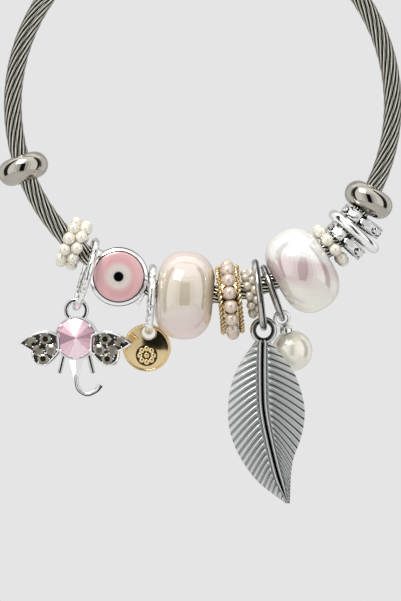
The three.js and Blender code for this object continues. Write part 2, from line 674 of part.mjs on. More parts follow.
const leafDrop = swung(bangle, rings.leaf_ring);
addRing(leafDrop, "leaf_ring", looks.polishedSteel);
const leafHook = hungHole(rings.leaf_ring, leaf.eyeletRadius - leaf.eyeletWire);
addPiece(leafDrop, "leaf_charm", makeLeaf(), looks.antiqueSilver).position.set(leafHook.x, 0, leafHook.z);

const pearlDropPlace = swung(bangle, rings.pearl_ring);
addRing(pearlDropPlace, "pearl_ring", looks.polishedSteel);
const pearlHook = hungHole(rings.pearl_ring, pearlDrop.eyeletRadius - pearlDrop.eyeletWire, pearlDrop.lean);
const pearlHang = new THREE.Group();
pearlHang.position.set(pearlHook.x, 0, pearlHook.z);
pearlHang.rotation.y = -pearlDrop.lean * degree;
pearlDropPlace.add(pearlHang);
addPiece(pearlHang, "pearl_cap", makePearlCap(), looks.brightSilver);
addPiece(pearlHang, "drop_pearl", makeDropPearl(), looks.pearl).position.z = -pearlDrop.drop;

export default charmBangle;
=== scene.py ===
import math

import bmesh
import bpy
from mathutils import Matrix, Vector


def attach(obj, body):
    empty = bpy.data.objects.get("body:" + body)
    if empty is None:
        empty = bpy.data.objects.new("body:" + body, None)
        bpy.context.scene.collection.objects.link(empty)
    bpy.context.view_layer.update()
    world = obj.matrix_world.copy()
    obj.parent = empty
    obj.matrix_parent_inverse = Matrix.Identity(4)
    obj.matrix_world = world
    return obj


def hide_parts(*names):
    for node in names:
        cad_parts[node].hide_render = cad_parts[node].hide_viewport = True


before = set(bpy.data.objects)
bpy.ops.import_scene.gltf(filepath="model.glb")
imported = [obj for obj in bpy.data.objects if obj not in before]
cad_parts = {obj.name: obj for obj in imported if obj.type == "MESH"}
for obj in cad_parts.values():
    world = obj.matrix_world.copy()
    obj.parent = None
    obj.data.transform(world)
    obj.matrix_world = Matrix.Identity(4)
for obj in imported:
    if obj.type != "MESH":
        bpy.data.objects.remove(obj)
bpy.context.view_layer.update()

# Sizes are in millimetres and angles in degrees, as in the CAD source, until a mesh is finished in metres.
mm = 0.001
mergeDistance = 1e-7
sharpFrom = {"soft": 60, "plain": 50, "crisp": 40, "stepped": 20, "cut": 3}  # where edges turn sharp
fullTurn = 2 * math.pi
loop = {"radius": 30.4, "centre": Vector((0.0, 0.0, -28.1))}
linkGap = 0.18
up = Vector((0.0, 0.0, 1.0))
back = Vector((0.0, 1.0, 0.0))
origin = Vector((0.0, 0.0, 0.0))

# On the cable: angle from the loop's lowest point, sag below the cable's line, tilt.
places = {
    "stopper_left": (-70.4, 0.1, 0.0),
    "seed_ring_left": (-43.3, 0.0, 21.0),
    "eye_bead": (-25.9, 0.2, 0.0),
    "bead_cream": (-5.4, 0.23, 0.0),
    "gold_ring": (7.9, 1.1, -2.7),
    "seed_ring_middle": (14.6, 0.7, -3.0),
    "bead_iridescent": (31.0, 0.5, 0.0),
    "seed_ring_right": (42.25, 0.0, -3.0),
    "crystal_rondelle_lower": (46.35, 1.1, 0.0),
    "plain_spacer": (50.0, 1.15, 0.0),
    "crystal_rondelle_upper": (53.65, 1.1, 0.0),
    "stopper_right": (60.2, 0.16, 0.0),
}
ringColumns = ("x", "z", "radius", "wire", "lean", "yaw", "swing")  # x and z from the loop's centre
ringRows = {
    "elephant_bail": (-18.68, -27.15, 5.45, 0.62, -16.6, 6, 0),
    "coin_bail": (-8.33, -31.2, 5.08, 0.62, -4.4, 4, -12),
    "leaf_ring": (9.05, -30.45, 5.25, 0.57, 7.5, 0, 4),
    "pearl_ring": (11.25, -30.19, 4.33, 0.5, 20.2, 0, -16),
}
rings = {name: dict(zip(ringColumns, row)) for name, row in ringRows.items()}


# Frames, in millimetres.
def rotation(angle, axis):
    return Matrix.Rotation(math.radians(angle), 4, axis)


def facingFront(place):
    return Matrix.Translation(place) @ rotation(90, "X")


def frameOf(x, y, z, place):
    return Matrix.Translation(place) @ Matrix((x, y, z)).transposed().to_4x4()


def fromCentre(x, z):
    return loop["centre"] + Vector((x, 0, z))


def onLoop(angle, sag=0.0):
    turn = math.radians(angle)
    outward = Vector((math.sin(turn), 0, -math.cos(turn)))
    along = Vector((math.cos(turn), 0, math.sin(turn)))
    return frameOf(outward, back, along, loop["centre"] + outward * (loop["radius"] + sag))


def placeOf(name):
    angle, sag, tilt = places[name]
    return onLoop(angle, sag) @ rotation(-tilt, "Y")


def downOf(lean):
    turn = math.radians(lean)
    return Vector((math.sin(turn), 0, -math.cos(turn)))


def swingOf(ring):
    lean = math.radians(ring["lean"])
    shift = ring["x"] * math.cos(lean) + ring["z"] * math.sin(lean)
    crossing = onLoop(ring["lean"] + math.degrees(math.asin(shift / loop["radius"])))
    turn = rotation(-ring["swing"], crossing.col[2].to_3d())
    return Matrix.Translation(crossing.translation) @ turn @ Matrix.Translation(-crossing.translation)


def ringFrame(ring):
    down = downOf(ring["lean"])
    hanging = frameOf(down, back, Vector((-down.z, 0, down.x)), fromCentre(ring["x"], ring["z"]))
    return swingOf(ring) @ hanging @ rotation(-ring["yaw"], "X")


def hungPlace(ring, hole, lean=0.0):
    foot = fromCentre(ring["x"], ring["z"]) + downOf(ring["lean"]) * ring["radius"]
    return foot + downOf(lean) * (hole - ring["wire"] - linkGap)


# Forms: points and faces gathered in millimetres, then made into one mesh in metres.
# Tone darkens a surface, 1 the most, and the materials read it as an attribute. Mostly it is painted shade in
# grooves, recesses and gaps, and painted dark reflection lines; on gems it is their own darker colour.
class Form:
    def __init__(self):
        self.points = []
        self.faces = []
        self.tones = []

    def add(self, points, faces, place=Matrix.Identity(4), tone=0.0):
        start = len(self.points)
        self.points += [place @ Vector(point) for point in points]
        self.faces += [[start + index for index in face] for face in faces]
        self.tones += tone if isinstance(tone, list) else [tone] * len(points)
        return self

    def addMesh(self, mesh, place=Matrix.Identity(4)):
        faces = [list(face.vertices) for face in mesh.polygons]
        self.add([vertex.co for vertex in mesh.vertices], faces, place)
        if "tone" in mesh.attributes:
            own = [value.value for value in mesh.attributes["tone"].data]
            self.tones[-len(own):] = own
        return self


def circle(count, start=0.0):
    angles = [fullTurn * (j + start) / count for j in range(count)]
    return [(math.cos(a), math.sin(a)) for a in angles]


def rowFaces(rowCount, count, joined):
    faces = []
    for i in range(rowCount if joined else rowCount - 1):
        near = i * count
        far = (i + 1) % rowCount * count
        for j in range(count):
            following = (j + 1) % count
            faces.append((near + j, near + following, far + following, far + j))
    return faces


def endFaces(total, count):
    return [list(range(count)), list(range(total - count, total))]


def turned(profile, sides, closed=True):
    section = circle(sides)
    points = [(radius * x, radius * y, z) for radius, z in profile for x, y in section]
    return points, rowFaces(len(profile), sides, closed)


def mirrored(upper):
    return [(r, -z) for r, z in reversed(upper)] + upper


def roundStretch(radius, z, bend, start, end, steps):
    angles = [math.radians(start + (end - start) * i / steps) for i in range(steps + 1)]
    return [(radius + bend * math.cos(a), z + bend * math.sin(a)) for a in angles]


def rod(radius, length, sides):
    half = length / 2
    return turned([(0.0, -half), (radius, -half), (radius, half), (0.0, half)], sides, False)


def tube(bore, radius, half, sides):
    return turned([(bore, -half), (radius, -half), (radius, half), (bore, half)], sides)


def blend(weights, points):
    return [sum(w * c for w, c in zip(weights, column)) for column in zip(*points)]


def smoothPath(stations, steps):
    rows = []
    last = len(stations) - 1
    for i in range(last):
        around = [stations[min(max(k, 0), last)] for k in (i - 1, i, i + 1, i + 2)]
        for k in range(steps):
            t = k / steps
            weights = (
                (-t + 2 * t**2 - t**3) / 2,
                (2 - 5 * t**2 + 3 * t**3) / 2,
                (t + 4 * t**2 - 3 * t**3) / 2,
                (-(t**2) + t**3) / 2,
            )
            rows.append(blend(weights, around))
    return rows + [list(stations[-1])]


def bar(stations, sides, steps, side=1):
    rows = smoothPath([(side * x, z, radius) for x, z, radius in stations], steps)
    points = []
    for i, (x, z, radius) in enumerate(rows):
        before = rows[max(i - 1, 0)]
        after = rows[min(i + 1, len(rows) - 1)]
        along = Vector((after[0] - before[0], 0, after[1] - before[1])).normalized()
        across = along.cross(back)
        points += [Vector((x, 0, z)) + radius * (u * across + v * back) for u, v in circle(sides)]
    return points, rowFaces(len(rows), sides, False) + endFaces(len(points), sides)


def hoop(radius, wire, around, sides, gap=0.0):
    rows = around + 1 if gap else around
    section = circle(sides)
    points = []
    for i in range(rows):
        a = math.radians(gap / 2 + (360 - gap) * i / around)
        for u, v in section:
            reach = radius + wire * u
            points.append((reach * math.cos(a), reach * math.sin(a), wire * v))
    ends = endFaces(len(points), sides) if gap else []
    return points, rowFaces(rows, sides, not gap) + ends


def reflectionLineTones(points, sides, line, tone):  # painted dark reflection lines: dark along the places of the section that line names
    section = [1.0 if j in line else tone for j in range(sides)]
    return section * (len(points) // sides)


def cleaned(mesh, edges):
    work = bmesh.new()
    work.from_mesh(mesh)
    bmesh.ops.remove_doubles(work, verts=work.verts, dist=mergeDistance)
    bmesh.ops.recalc_face_normals(work, faces=work.faces)
    work.to_mesh(mesh)
    work.free()
    mesh.shade_smooth()
    mesh.set_sharp_from_angle(angle=math.radians(sharpFrom[edges]))
    return mesh


def meshOf(name, form):
    mesh = bpy.data.meshes.new(name)
    mesh.from_pydata([point * mm for point in form.points], [], form.faces)
    mesh.attributes.new("tone", "FLOAT", "POINT").data.foreach_set("value", form.tones)
    return mesh


def pointMesh(points):
    mesh = bpy.data.meshes.new("points")
    mesh.from_pydata(points, [], [])
    return mesh


def linked(name, data):
    item = bpy.data.objects.new(name, data)
    bpy.context.scene.collection.objects.link(item)
    return item


def evaluatedMesh(carrier):
    bpy.context.view_layer.update()
    evaluated = carrier.evaluated_get(bpy.context.evaluated_depsgraph_get())
    return bpy.data.meshes.new_from_object(evaluated)


def cutAway(form, tool, edges):
    whole = linked("whole", cleaned(meshOf("whole", form), edges))
    cutter = linked("cutter", cleaned(meshOf("cutter", tool), edges))
    modifier = whole.modifiers.new("bore", "BOOLEAN")
    modifier.operation = "DIFFERENCE"
    modifier.object = cutter
    result = evaluatedMesh(whole)
    bpy.data.objects.remove(whole)
    bpy.data.objects.remove(cutter)
    return result


def camelName(node):
    first, *others = node.split("_")
    return first + "".join(word.capitalize() for word in others)


def dress(node, form, edges, material, body="root", name=None):
    name = name or camelName(node)
    mesh = cleaned(meshOf(name, form) if isinstance(form, Form) else form, edges)
    mesh.materials.clear()
    mesh.materials.append(material)
    piece = linked(name, mesh)
    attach(piece, body)
    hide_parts(node)
    print("piece made:", name)


# Node trees.
class Graph:
    def __init__(self, tree):
        self.tree = tree

    def feed(self, socket, value):
        if isinstance(value, bpy.types.NodeSocket):
            self.tree.links.new(value, socket)
        else:
            socket.default_value = value

    def node(self, kind, settings=None, **inputs):
        node = self.tree.nodes.new(kind)
        for name, value in (settings or {}).items():
            setattr(node, name, value)
        for name, value in inputs.items():
            self.feed(node.inputs[name.replace("_", " ")], value)
        return node.outputs

    def operate(self, kind, operation, values):
        node = self.tree.nodes.new(kind)
        node.operation = operation
        for socket, value in zip(node.inputs, values):
            self.feed(socket, value)
        return node.outputs

    def math(self, operation, *values):
        return self.operate("ShaderNodeMath", operation, values)[0]

    def vector(self, operation, *values):
        outputs = self.operate("ShaderNodeVectorMath", operation, values)
        return outputs["Value" if operation == "LENGTH" else "Vector"]

    def combine(self, **parts):
        return self.node("ShaderNodeCombineXYZ", **parts)[0]

    def separate(self, vector):
        return self.node("ShaderNodeSeparateXYZ", Vector=vector)

    def mapped(self, value, low, high, start=0.0, end=1.0, way="LINEAR"):
        limits = {"From_Min": low, "From_Max": high, "To_Min": start, "To_Max": end}
        return self.node("ShaderNodeMapRange", {"interpolation_type": way}, Value=value, **limits)[0]

    def mixed(self, factor, first, second):
        return self.node("ShaderNodeMix", {"data_type": "FLOAT"}, Factor=factor, A=first, B=second)[0]

    def field(self, name):
        return self.node("ShaderNodeAttribute", {"attribute_name": name})["Fac"]

    def noise(self, scale, detail, **more):
        return self.node("ShaderNodeTexNoise", Scale=scale, Detail=detail, **more)["Fac"]

    def offsetFrom(self, place):
        coords = self.node("ShaderNodeTexCoord")["Object"]
        return self.vector("SUBTRACT", coords, tuple(place * mm))

    def chance(self, kind, low, high, seed):
        node = self.tree.nodes.new("FunctionNodeRandomValue")
        node.data_type = kind
        mark = {"FLOAT_VECTOR": "", "FLOAT": "_001"}[kind]
        sockets = {socket.identifier: socket for socket in node.inputs}
        self.feed(sockets["Min" + mark], low)
        self.feed(sockets["Max" + mark], high)
        self.feed(sockets["Seed"], seed)
        return {socket.identifier: socket for socket in node.outputs}["Value" + mark]

    def ramp(self, factor, stops):
        node = self.tree.nodes.new("ShaderNodeValToRGB")
        elements = node.color_ramp.elements
        while len(elements) < len(stops):
            elements.new(0.5)
        for element, (position, colour) in zip(elements, stops):
            element.position = position
            element.color = (*colour, 1.0)
        self.feed(node.inputs[0], factor)
        return node.outputs[0]


class GeometryGraph(Graph):
    def __init__(self, name, **labels):
        super().__init__(bpy.data.node_groups.new(name, "GeometryNodeTree"))
        self.tree.interface.new_socket("Geometry", in_out="INPUT", socket_type="NodeSocketGeometry")
        for kind, names in {**labels, "Material": ("Material",)}.items():
            for label in names:
                self.tree.interface.new_socket(label, in_out="INPUT", socket_type="NodeSocket" + kind)
        self.tree.interface.new_socket("Geometry", in_out="OUTPUT", socket_type="NodeSocketGeometry")
        self.given = self.tree.nodes.new("NodeGroupInput").outputs

    def position(self):
        return self.node("GeometryNodeInputPosition")[0]

    def ringCurve(self, steps, radius):
        return self.node("GeometryNodeCurvePrimitiveCircle", Resolution=steps, Radius=radius)[0]

    def swept(self, path, section):
        return self.node("GeometryNodeCurveToMesh", Curve=path, Profile_Curve=section)[0]

    def moved(self, geometry, **shift):
        return self.node("GeometryNodeSetPosition", Geometry=geometry, **shift)[0]

    def placed(self, points, instance, **more):
        return self.node("GeometryNodeInstanceOnPoints", Points=points, Instance=instance, **more)[0]

    def ringDepth(self, first, second, third, radius):  # distance from a circle's line
        outward = self.math("SQRT", self.sumOfSquares(first, second))
        return self.math("SQRT", self.sumOfSquares(self.math("SUBTRACT", outward, radius), third))

    def sumOfSquares(self, first, second):
        return self.math("MULTIPLY_ADD", first, first, self.math("MULTIPLY", second, second))

    def facingTurn(self):
        outward = self.vector("MULTIPLY_ADD", self.position(), self.given["Spread"], self.given["Facing"])
        facing = self.node("FunctionNodeAlignRotationToVector", {"axis": "Z"}, Vector=outward)[0]
        upright = {"axis": "Y", "pivot_axis": "Z"}
        return self.node("FunctionNodeAlignRotationToVector", upright, Rotation=facing, Vector=up)[0]

    def store(self, geometry, name, value):
        kind = {"data_type": "FLOAT", "domain": "POINT"}
        fields = {"Geometry": geometry, "Name": name, "Value": value}
        return self.node("GeometryNodeStoreNamedAttribute", kind, **fields)[0]

    def close(self, geometry, tone=0.0):
        realized = self.node("GeometryNodeRealizeInstances", Geometry=geometry)[0]
        toned = self.store(realized, "tone", tone)
        smooth = self.node("GeometryNodeSetShadeSmooth", Geometry=toned)[0]
        painted = self.node("GeometryNodeSetMaterial", Geometry=smooth, Material=self.given["Material"])[0]
        self.tree.links.new(painted, self.tree.nodes.new("NodeGroupOutput").inputs[0])
        return self.tree


def cableTree():
    graph = GeometryGraph(
        "twistedCable",
        Float=("Loop Radius", "Lay Radius", "Wire Radius", "Core Radius", "Turns", "Groove", "Crest"),
        Int=("Wires", "Steps", "Sides"),
    )
    given = graph.given
    line = graph.ringCurve(given["Steps"], 1.0)
    turn = graph.math("MULTIPLY", graph.node("GeometryNodeSplineParameter")["Factor"], fullTurn)
    lay = graph.math("MULTIPLY", turn, given["Turns"])

    def wireAt(layRadius, wireRadius):
        reach = graph.math("MULTIPLY_ADD", graph.math("COSINE", lay), layRadius, given["Loop Radius"])
        place = graph.combine(
            X=graph.math("MULTIPLY", reach, graph.math("SINE", turn)),
            Y=graph.math("MULTIPLY", layRadius, graph.math("SINE", lay)),
            Z=graph.math("MULTIPLY", reach, graph.math("COSINE", turn)),
        )
        return graph.swept(graph.moved(line, Position=place), graph.ringCurve(given["Sides"], wireRadius))

    wire = wireAt(given["Lay Radius"], given["Wire Radius"])
    core = wireAt(0.0, given["Core Radius"])
    points = graph.node("GeometryNodePoints", Count=given["Wires"])[0]
    step = graph.math("DIVIDE", fullTurn, graph.math("MULTIPLY", given["Wires"], given["Turns"]))
    angle = graph.math("MULTIPLY", graph.node("GeometryNodeInputIndex")[0], step)
    strands = graph.placed(points, wire, Rotation=graph.combine(Y=angle))
    joined = graph.node("GeometryNodeJoinGeometry")[0]
    graph.tree.links.new(strands, joined.node.inputs[0])
    graph.tree.links.new(core, joined.node.inputs[0])
    # Painted shade: each wire darkens towards the grooves between the wires.
    x, y, z = graph.separate(graph.position())
    depth = graph.math("SUBTRACT", graph.ringDepth(x, z, y, given["Loop Radius"]), given["Lay Radius"])
    share = graph.math("DIVIDE", depth, given["Wire Radius"])
    return graph.close(joined, graph.mapped(share, given["Groove"], given["Crest"], 1.0, 0.0))


def pearlTree():
    graph = GeometryGraph(
        "pearlRows",
        Float=("Ring Radius", "Spacing", "Offset", "Pearl Radius", "Size Spread", "Tone"),
        Int=("Rows", "Count", "Segments", "Rings", "Seed"),
    )
    given = graph.given
    points = graph.node("GeometryNodePoints", Count=graph.math("MULTIPLY", given["Rows"], given["Count"]))[0]
    index = graph.node("GeometryNodeInputIndex")[0]
    row = graph.math("FLOOR", graph.math("DIVIDE", graph.math("ADD", index, 0.5), given["Count"]))
    shift = graph.math("MULTIPLY_ADD", row, 0.5, given["Offset"])  # each row half a pearl on
    share = graph.math("DIVIDE", graph.math("ADD", index, shift), given["Count"])
    angle = graph.math("MULTIPLY", share, fullTurn)
    middle = graph.math("MULTIPLY", graph.math("SUBTRACT", given["Rows"], 1.0), 0.5)
    place = graph.combine(
        X=graph.math("MULTIPLY", given["Ring Radius"], graph.math("COSINE", angle)),
        Y=graph.math("MULTIPLY", given["Ring Radius"], graph.math("SINE", angle)),
        Z=graph.math("MULTIPLY", given["Spacing"], graph.math("SUBTRACT", row, middle)),
    )
    ball = {"Segments": given["Segments"], "Rings": given["Rings"], "Radius": given["Pearl Radius"]}
    pearl = graph.node("GeometryNodeMeshUVSphere", **ball)[0]
    smallest = graph.math("SUBTRACT", 1.0, given["Size Spread"])
    scale = graph.chance("FLOAT", smallest, 1.0, given["Seed"])
    return graph.close(graph.placed(graph.moved(points, Position=place), pearl, Scale=scale), given["Tone"])


def ropeTree():
    graph = GeometryGraph(
        "ropeRim",
        Float=("Radius", "Wire", "Flatness", "Twists", "Height", "Groove", "Crest"),
        Int=("Steps", "Sides"),
    )
    given = graph.given
    factor = graph.node("GeometryNodeSplineParameter")["Factor"]
    tilt = graph.math("MULTIPLY", factor, graph.math("MULTIPLY", given["Twists"], fullTurn))
    line = graph.ringCurve(given["Steps"], given["Radius"])
    twisted = graph.node("GeometryNodeSetCurveTilt", Curve=line, Tilt=tilt)[0]
    section = graph.ringCurve(given["Sides"], given["Wire"])
    shape = graph.combine(X=1.0, Y=given["Flatness"], Z=1.0)
    flat = graph.node("GeometryNodeTransform", Geometry=section, Scale=shape)[0]
    lift = graph.combine(Z=given["Height"])
    rope = graph.node("GeometryNodeTransform", Geometry=graph.swept(twisted, flat), Translation=lift)[0]
    # Painted shade: the rope darkens towards the grooves of its twist.
    x, y, z = graph.separate(graph.position())
    depth = graph.ringDepth(x, y, graph.math("SUBTRACT", z, given["Height"]), given["Radius"])
    share = graph.math("DIVIDE", depth, given["Wire"])
    return graph.close(rope, graph.mapped(share, given["Flatness"], given["Crest"], given["Groove"], 0.0))


def hammeredTree():
    graph = GeometryGraph(
        "hammeredRing",
        Float=(
            "Radius", "Wire", "Depth", "Level", "Dent Scale", "Dent Detail",
            "Streak", "Streak Scale", "Streak Detail", "Streak Low", "Streak High",
        ),
        Int=("Steps", "Sides"),
    )
    given = graph.given
    line = graph.ringCurve(given["Steps"], given["Radius"])
    ring = graph.swept(line, graph.ringCurve(given["Sides"], given["Wire"]))
    dents = graph.noise(given["Dent Scale"], given["Dent Detail"])
    depth = graph.math("MULTIPLY", graph.math("SUBTRACT", dents, given["Level"]), given["Depth"])
    normal = graph.node("GeometryNodeInputNormal")[0]
    dent = graph.node("ShaderNodeVectorMath", {"operation": "SCALE"}, Vector=normal, Scale=depth)[0]
    # Painted reflection: noise darkens streaks along the polished ring, as dark reflection lines.
    streaks = graph.noise(given["Streak Scale"], given["Streak Detail"])
    tone = graph.mapped(streaks, given["Streak Low"], given["Streak High"], 0.0, given["Streak"])
    return graph.close(graph.moved(ring, Offset=dent), tone)


def gemTree():
    graph = GeometryGraph(
        "gemField",
        Float=("Girdle", "Table", "Rise", "Stretch", "Tone"),
        Int=("Sides", "Seed"),
        Vector=("Wobble", "Spread", "Facing"),
    )
    given = graph.given
    cut = {"Radius_Top": given["Table"], "Radius_Bottom": given["Girdle"], "Depth": given["Rise"]}
    gem = graph.node("GeometryNodeMeshCone", Vertices=given["Sides"], **cut)[0]
    size = graph.combine(X=given["Stretch"], Y=1.0, Z=1.0)
    least = graph.vector("MULTIPLY", given["Wobble"], (-1.0, -1.0, -1.0))
    wobble = graph.chance("FLOAT_VECTOR", least, given["Wobble"], given["Seed"])
    rock = graph.node("FunctionNodeEulerToRotation", Euler=wobble)[0]
    local = {"rotation_space": "LOCAL"}
    turn = graph.node("FunctionNodeRotateRotation", local, Rotation=graph.facingTurn(), Rotate_By=rock)[0]
    return graph.close(graph.placed(given["Geometry"], gem, Rotation=turn, Scale=size), given["Tone"])


def grainTree():
    graph = GeometryGraph(
        "settingGrains",
        Float=("Ring Radius", "Grain Radius"),
        Int=("Count", "Segments", "Rings"),
        Vector=("Spread", "Facing"),
    )
    given = graph.given
    seats = graph.node("GeometryNodeMeshCircle", Vertices=given["Count"], Radius=given["Ring Radius"])[0]
    ball = {"Segments": given["Segments"], "Rings": given["Rings"], "Radius": given["Grain Radius"]}
    grain = graph.node("GeometryNodeMeshUVSphere", **ball)[0]
    setting = graph.placed(seats, grain)
    return graph.close(graph.placed(given["Geometry"], setting, Rotation=graph.facingTurn()))


def veinTree():
    graph = GeometryGraph("leafVeins", Float=("Rise", "Ridge", "Line", "Line Place", "Flat"))
    given = graph.given

    def attribute(name):
        return graph.node("GeometryNodeInputNamedAttribute", {"data_type": "FLOAT"}, Name=name)[0]

    def bump(offset, reach):
        near = graph.math("DIVIDE", graph.math("ABSOLUTE", offset), reach)
        return graph.mapped(near, given["Flat"], 1.0, 1.0, 0.0, "SMOOTHSTEP")

    along = graph.math("SUBTRACT", graph.math("FRACT", attribute("vein")), 0.5)
    blade = attribute("blade")
    ridge = graph.math("MULTIPLY", bump(along, given["Ridge"]), blade)
    forward = graph.math("MULTIPLY", ridge, graph.math("MULTIPLY", given["Rise"], -1.0))
    raised = graph.moved(given["Geometry"], Offset=graph.combine(Y=forward))
    # Painted shadow: a dark line beside each vein's ridge, on one side only.
    beside = graph.math("SUBTRACT", along, given["Line Place"])
    line = graph.math("MULTIPLY", bump(beside, given["Line"]), blade)
    return graph.close(graph.store(raised, "groove", graph.math("MAXIMUM", line, attribute("seam"))))


# Materials.
def shaderOf(material):
    return material.node_tree.nodes["Principled BSDF"]


def plainMaterial(name, colour, metallic, roughness, **more):
    material = bpy.data.materials.new(name)
    material.use_nodes = True
    inputs = shaderOf(material).inputs
    inputs["Base Color"].default_value = (*colour, 1.0)
    inputs["Metallic"].default_value = metallic
    inputs["Roughness"].default_value = roughness
    for label, value in more.items():
        inputs[label.replace("_", " ")].default_value = value
    return material


def paint(material, graph, factor, stops):
    graph.feed(shaderOf(material).inputs["Base Color"], graph.ramp(factor, stops))
    return material


# Blends the colour towards dark by the tone attribute, which is mostly painted shade and painted dark
# reflection.
def tonedMaterial(name, colour, dark, metallic, roughness, **more):
    material = plainMaterial(name, colour, metallic, roughness, **more)
    graph = Graph(material.node_tree)
    return paint(material, graph, graph.field("tone"), ((0.0, colour), (1.0, dark)))


def antiqueMaterial():
    silver = {
        "bare": (0.61, 0.63, 0.615), "worn": (0.38, 0.39, 0.38), "black": (0.01, 0.01, 0.01),
        "halfDarkAt": 0.4, "blackAt": 0.85, "roughness": 0.32, "polished": 0.08,
    }
    material = plainMaterial("antiqueSilver", silver["bare"], 1.0, silver["roughness"])
    graph = Graph(material.node_tree)
    smoothing = silver["polished"] - silver["roughness"]
    roughness = graph.math("MULTIPLY_ADD", graph.field("polish"), smoothing, silver["roughness"])
    graph.feed(shaderOf(material).inputs["Roughness"], roughness)
    # The ramp follows the painted shadow lines beside the veins, the rib's seams and painted reflection lines
    # on the eyelet.
    stops = ((0.0, silver["bare"]), (silver["halfDarkAt"], silver["worn"]), (silver["blackAt"], silver["black"]))
    return paint(material, graph, graph.field("groove"), stops)


# The second colour of a toned material is its colour at tone 1: painted shade and painted dark reflection on
# most pieces, a darker own colour on gems.
looks = {
    "cable": tonedMaterial("cableSteel", (0.80, 0.77, 0.68), (0.02, 0.02, 0.012), 1.0, 0.12),
    "steel": plainMaterial("polishedSteel", (0.48, 0.455, 0.40), 1.0, 0.06),
    "ringSteel": tonedMaterial("ringSteel", (0.64, 0.62, 0.60), (0.02, 0.02, 0.02), 1.0, 0.08),
    "silver": tonedMaterial("brightSilver", (0.93, 0.93, 0.92), (0.02, 0.02, 0.02), 1.0, 0.05),
    "antique": antiqueMaterial(),
    "gold": tonedMaterial("gold", (0.85, 0.66, 0.37), (0.10, 0.06, 0.02), 1.0, 0.1),
    "pearl": tonedMaterial("pearl", (0.92, 0.88, 0.77), (0.58, 0.53, 0.43), 0.3, 0.16, Coat_Weight=0.5),
    "rosePearl": plainMaterial("rosePearl", (0.72, 0.60, 0.50), 0.4, 0.12, Coat_Weight=0.5),
    "darkCrystal": tonedMaterial("darkCrystal", (0.37, 0.34, 0.28), (0.01, 0.01, 0.01), 0.95, 0.05),
}
trees = {
    "cable": cableTree(), "pearls": pearlTree(), "rope": ropeTree(), "hammered": hammeredTree(),
    "gems": gemTree(), "grains": grainTree(), "veins": veinTree(),
}
pearlFaces = {"Segments": 24, "Rings": 14}
print("materials and trees made")


def grown(treeName, values, look, base=None):
    tree = trees[treeName]
    given = {**values, "Material": looks[look]}
    carrier = linked(tree.name, base or bpy.data.meshes.new(tree.name))
    modifier = carrier.modifiers.new(tree.name, "NODES")
    modifier.node_group = tree
    for item in tree.interface.items_tree:
        if item.in_out == "INPUT" and item.name in given:
            modifier[item.identifier] = given[item.name]
    result = evaluatedMesh(carrier)
    bpy.data.objects.remove(carrier)
    return result


# The loop and what is threaded on it.
def makeCable():
    cable = {
        "Loop Radius": loop["radius"], "Lay Radius": 1.14, "Wire Radius": 0.31, "Core Radius": 0.9,
        "Wires": 13, "Turns": -7.0, "Groove": 0.85, "Crest": 0.98, "Steps": 540, "Sides": 12,
    }
    form = Form().addMesh(grown("cable", cable, "cable"), Matrix.Translation(loop["centre"]))
    dress("cable", form, "soft", looks["cable"], name="twistedCable")


def makeSleeve():
    sleeve = {"radius": 2.3, "bore": 1.8, "top": 180, "halfAngle": 10, "steps": 24, "sides": 40}
    shares = [2 * i / sleeve["steps"] - 1 for i in range(sleeve["steps"] + 1)]
    angles = [sleeve["top"] + sleeve["halfAngle"] * share for share in shares]
    stations = [(angle, sleeve["radius"]) for angle in angles]
    stations = [(angles[0], sleeve["bore"]), *stations, (angles[-1], sleeve["bore"])]
    points = []
    for angle, radius in stations:
        place = onLoop(angle)
        points += [place @ Vector((radius * x, radius * y, 0)) for x, y in circle(sleeve["sides"])]
    form = Form().add(points, rowFaces(len(stations), sleeve["sides"], True))
    dress("clasp_sleeve", form, "crisp", looks["steel"])


def makeRounded(name, shape, look):
    rim = roundStretch(shape["middle"], 0, shape["edge"], -90, 90, shape["steps"])
    profile = [(shape["bore"], -shape["edge"]), *rim, (shape["bore"], shape["edge"])]
    form = Form().add(*turned(profile, shape["sides"]), placeOf(name))
    dress(name, form, "plain", looks[look])


def makeStopper(name):
    stopper = {"middle": 2.0, "edge": 2.1, "bore": 1.6, "sides": 80, "steps": 24}
    makeRounded(name, stopper, "steel")


def makeSpacer():
    spacer = {"middle": 4.2, "edge": 0.8, "bore": 2.85, "sides": 96, "steps": 16}
    makeRounded("plain_spacer", spacer, "silver")


def makeSeedRing(name):
    shared = {"Offset": 0.0, "Size Spread": 0.04, "Seed": 5, "edgeShare": 0.6, "sides": 40, **pearlFaces}
    columns = ("Rows", "Count", "Pearl Radius", "Ring Radius", "Spacing", "Tone", "bore", "core", "shift")
    # The Tone column darkens each ring's pearls as painted shade, most on the middle ring.
    rows = {
        "seed_ring_left": (2, 11, 0.98, 3.36, 1.75, 0.1, 2.5, 3.3, 0.25),
        "seed_ring_middle": (2, 13, 0.7, 3.4, 1.05, 0.55, 2.4, 3.1, 0.0),
        "seed_ring_right": (1, 10, 0.98, 3.15, 1.55, 0.25, 2.0, 3.3, 0.0),
    }
    seeds = {**shared, **dict(zip(columns, rows[name]))}
    edge = (seeds["Rows"] - 1) / 2 * seeds["Spacing"] + seeds["Pearl Radius"] * seeds["edgeShare"]
    sleeve = tube(seeds["bore"], seeds["core"], edge, seeds["sides"])
    place = placeOf(name) @ Matrix.Translation((0, 0, seeds["shift"]))
    # The sleeve under the pearls is fully toned: painted shade between the pearls.
    form = Form().addMesh(grown("pearls", seeds, "pearl"), place).add(*sleeve, place, 1.0)
    dress(name, form, "plain", looks["pearl"])


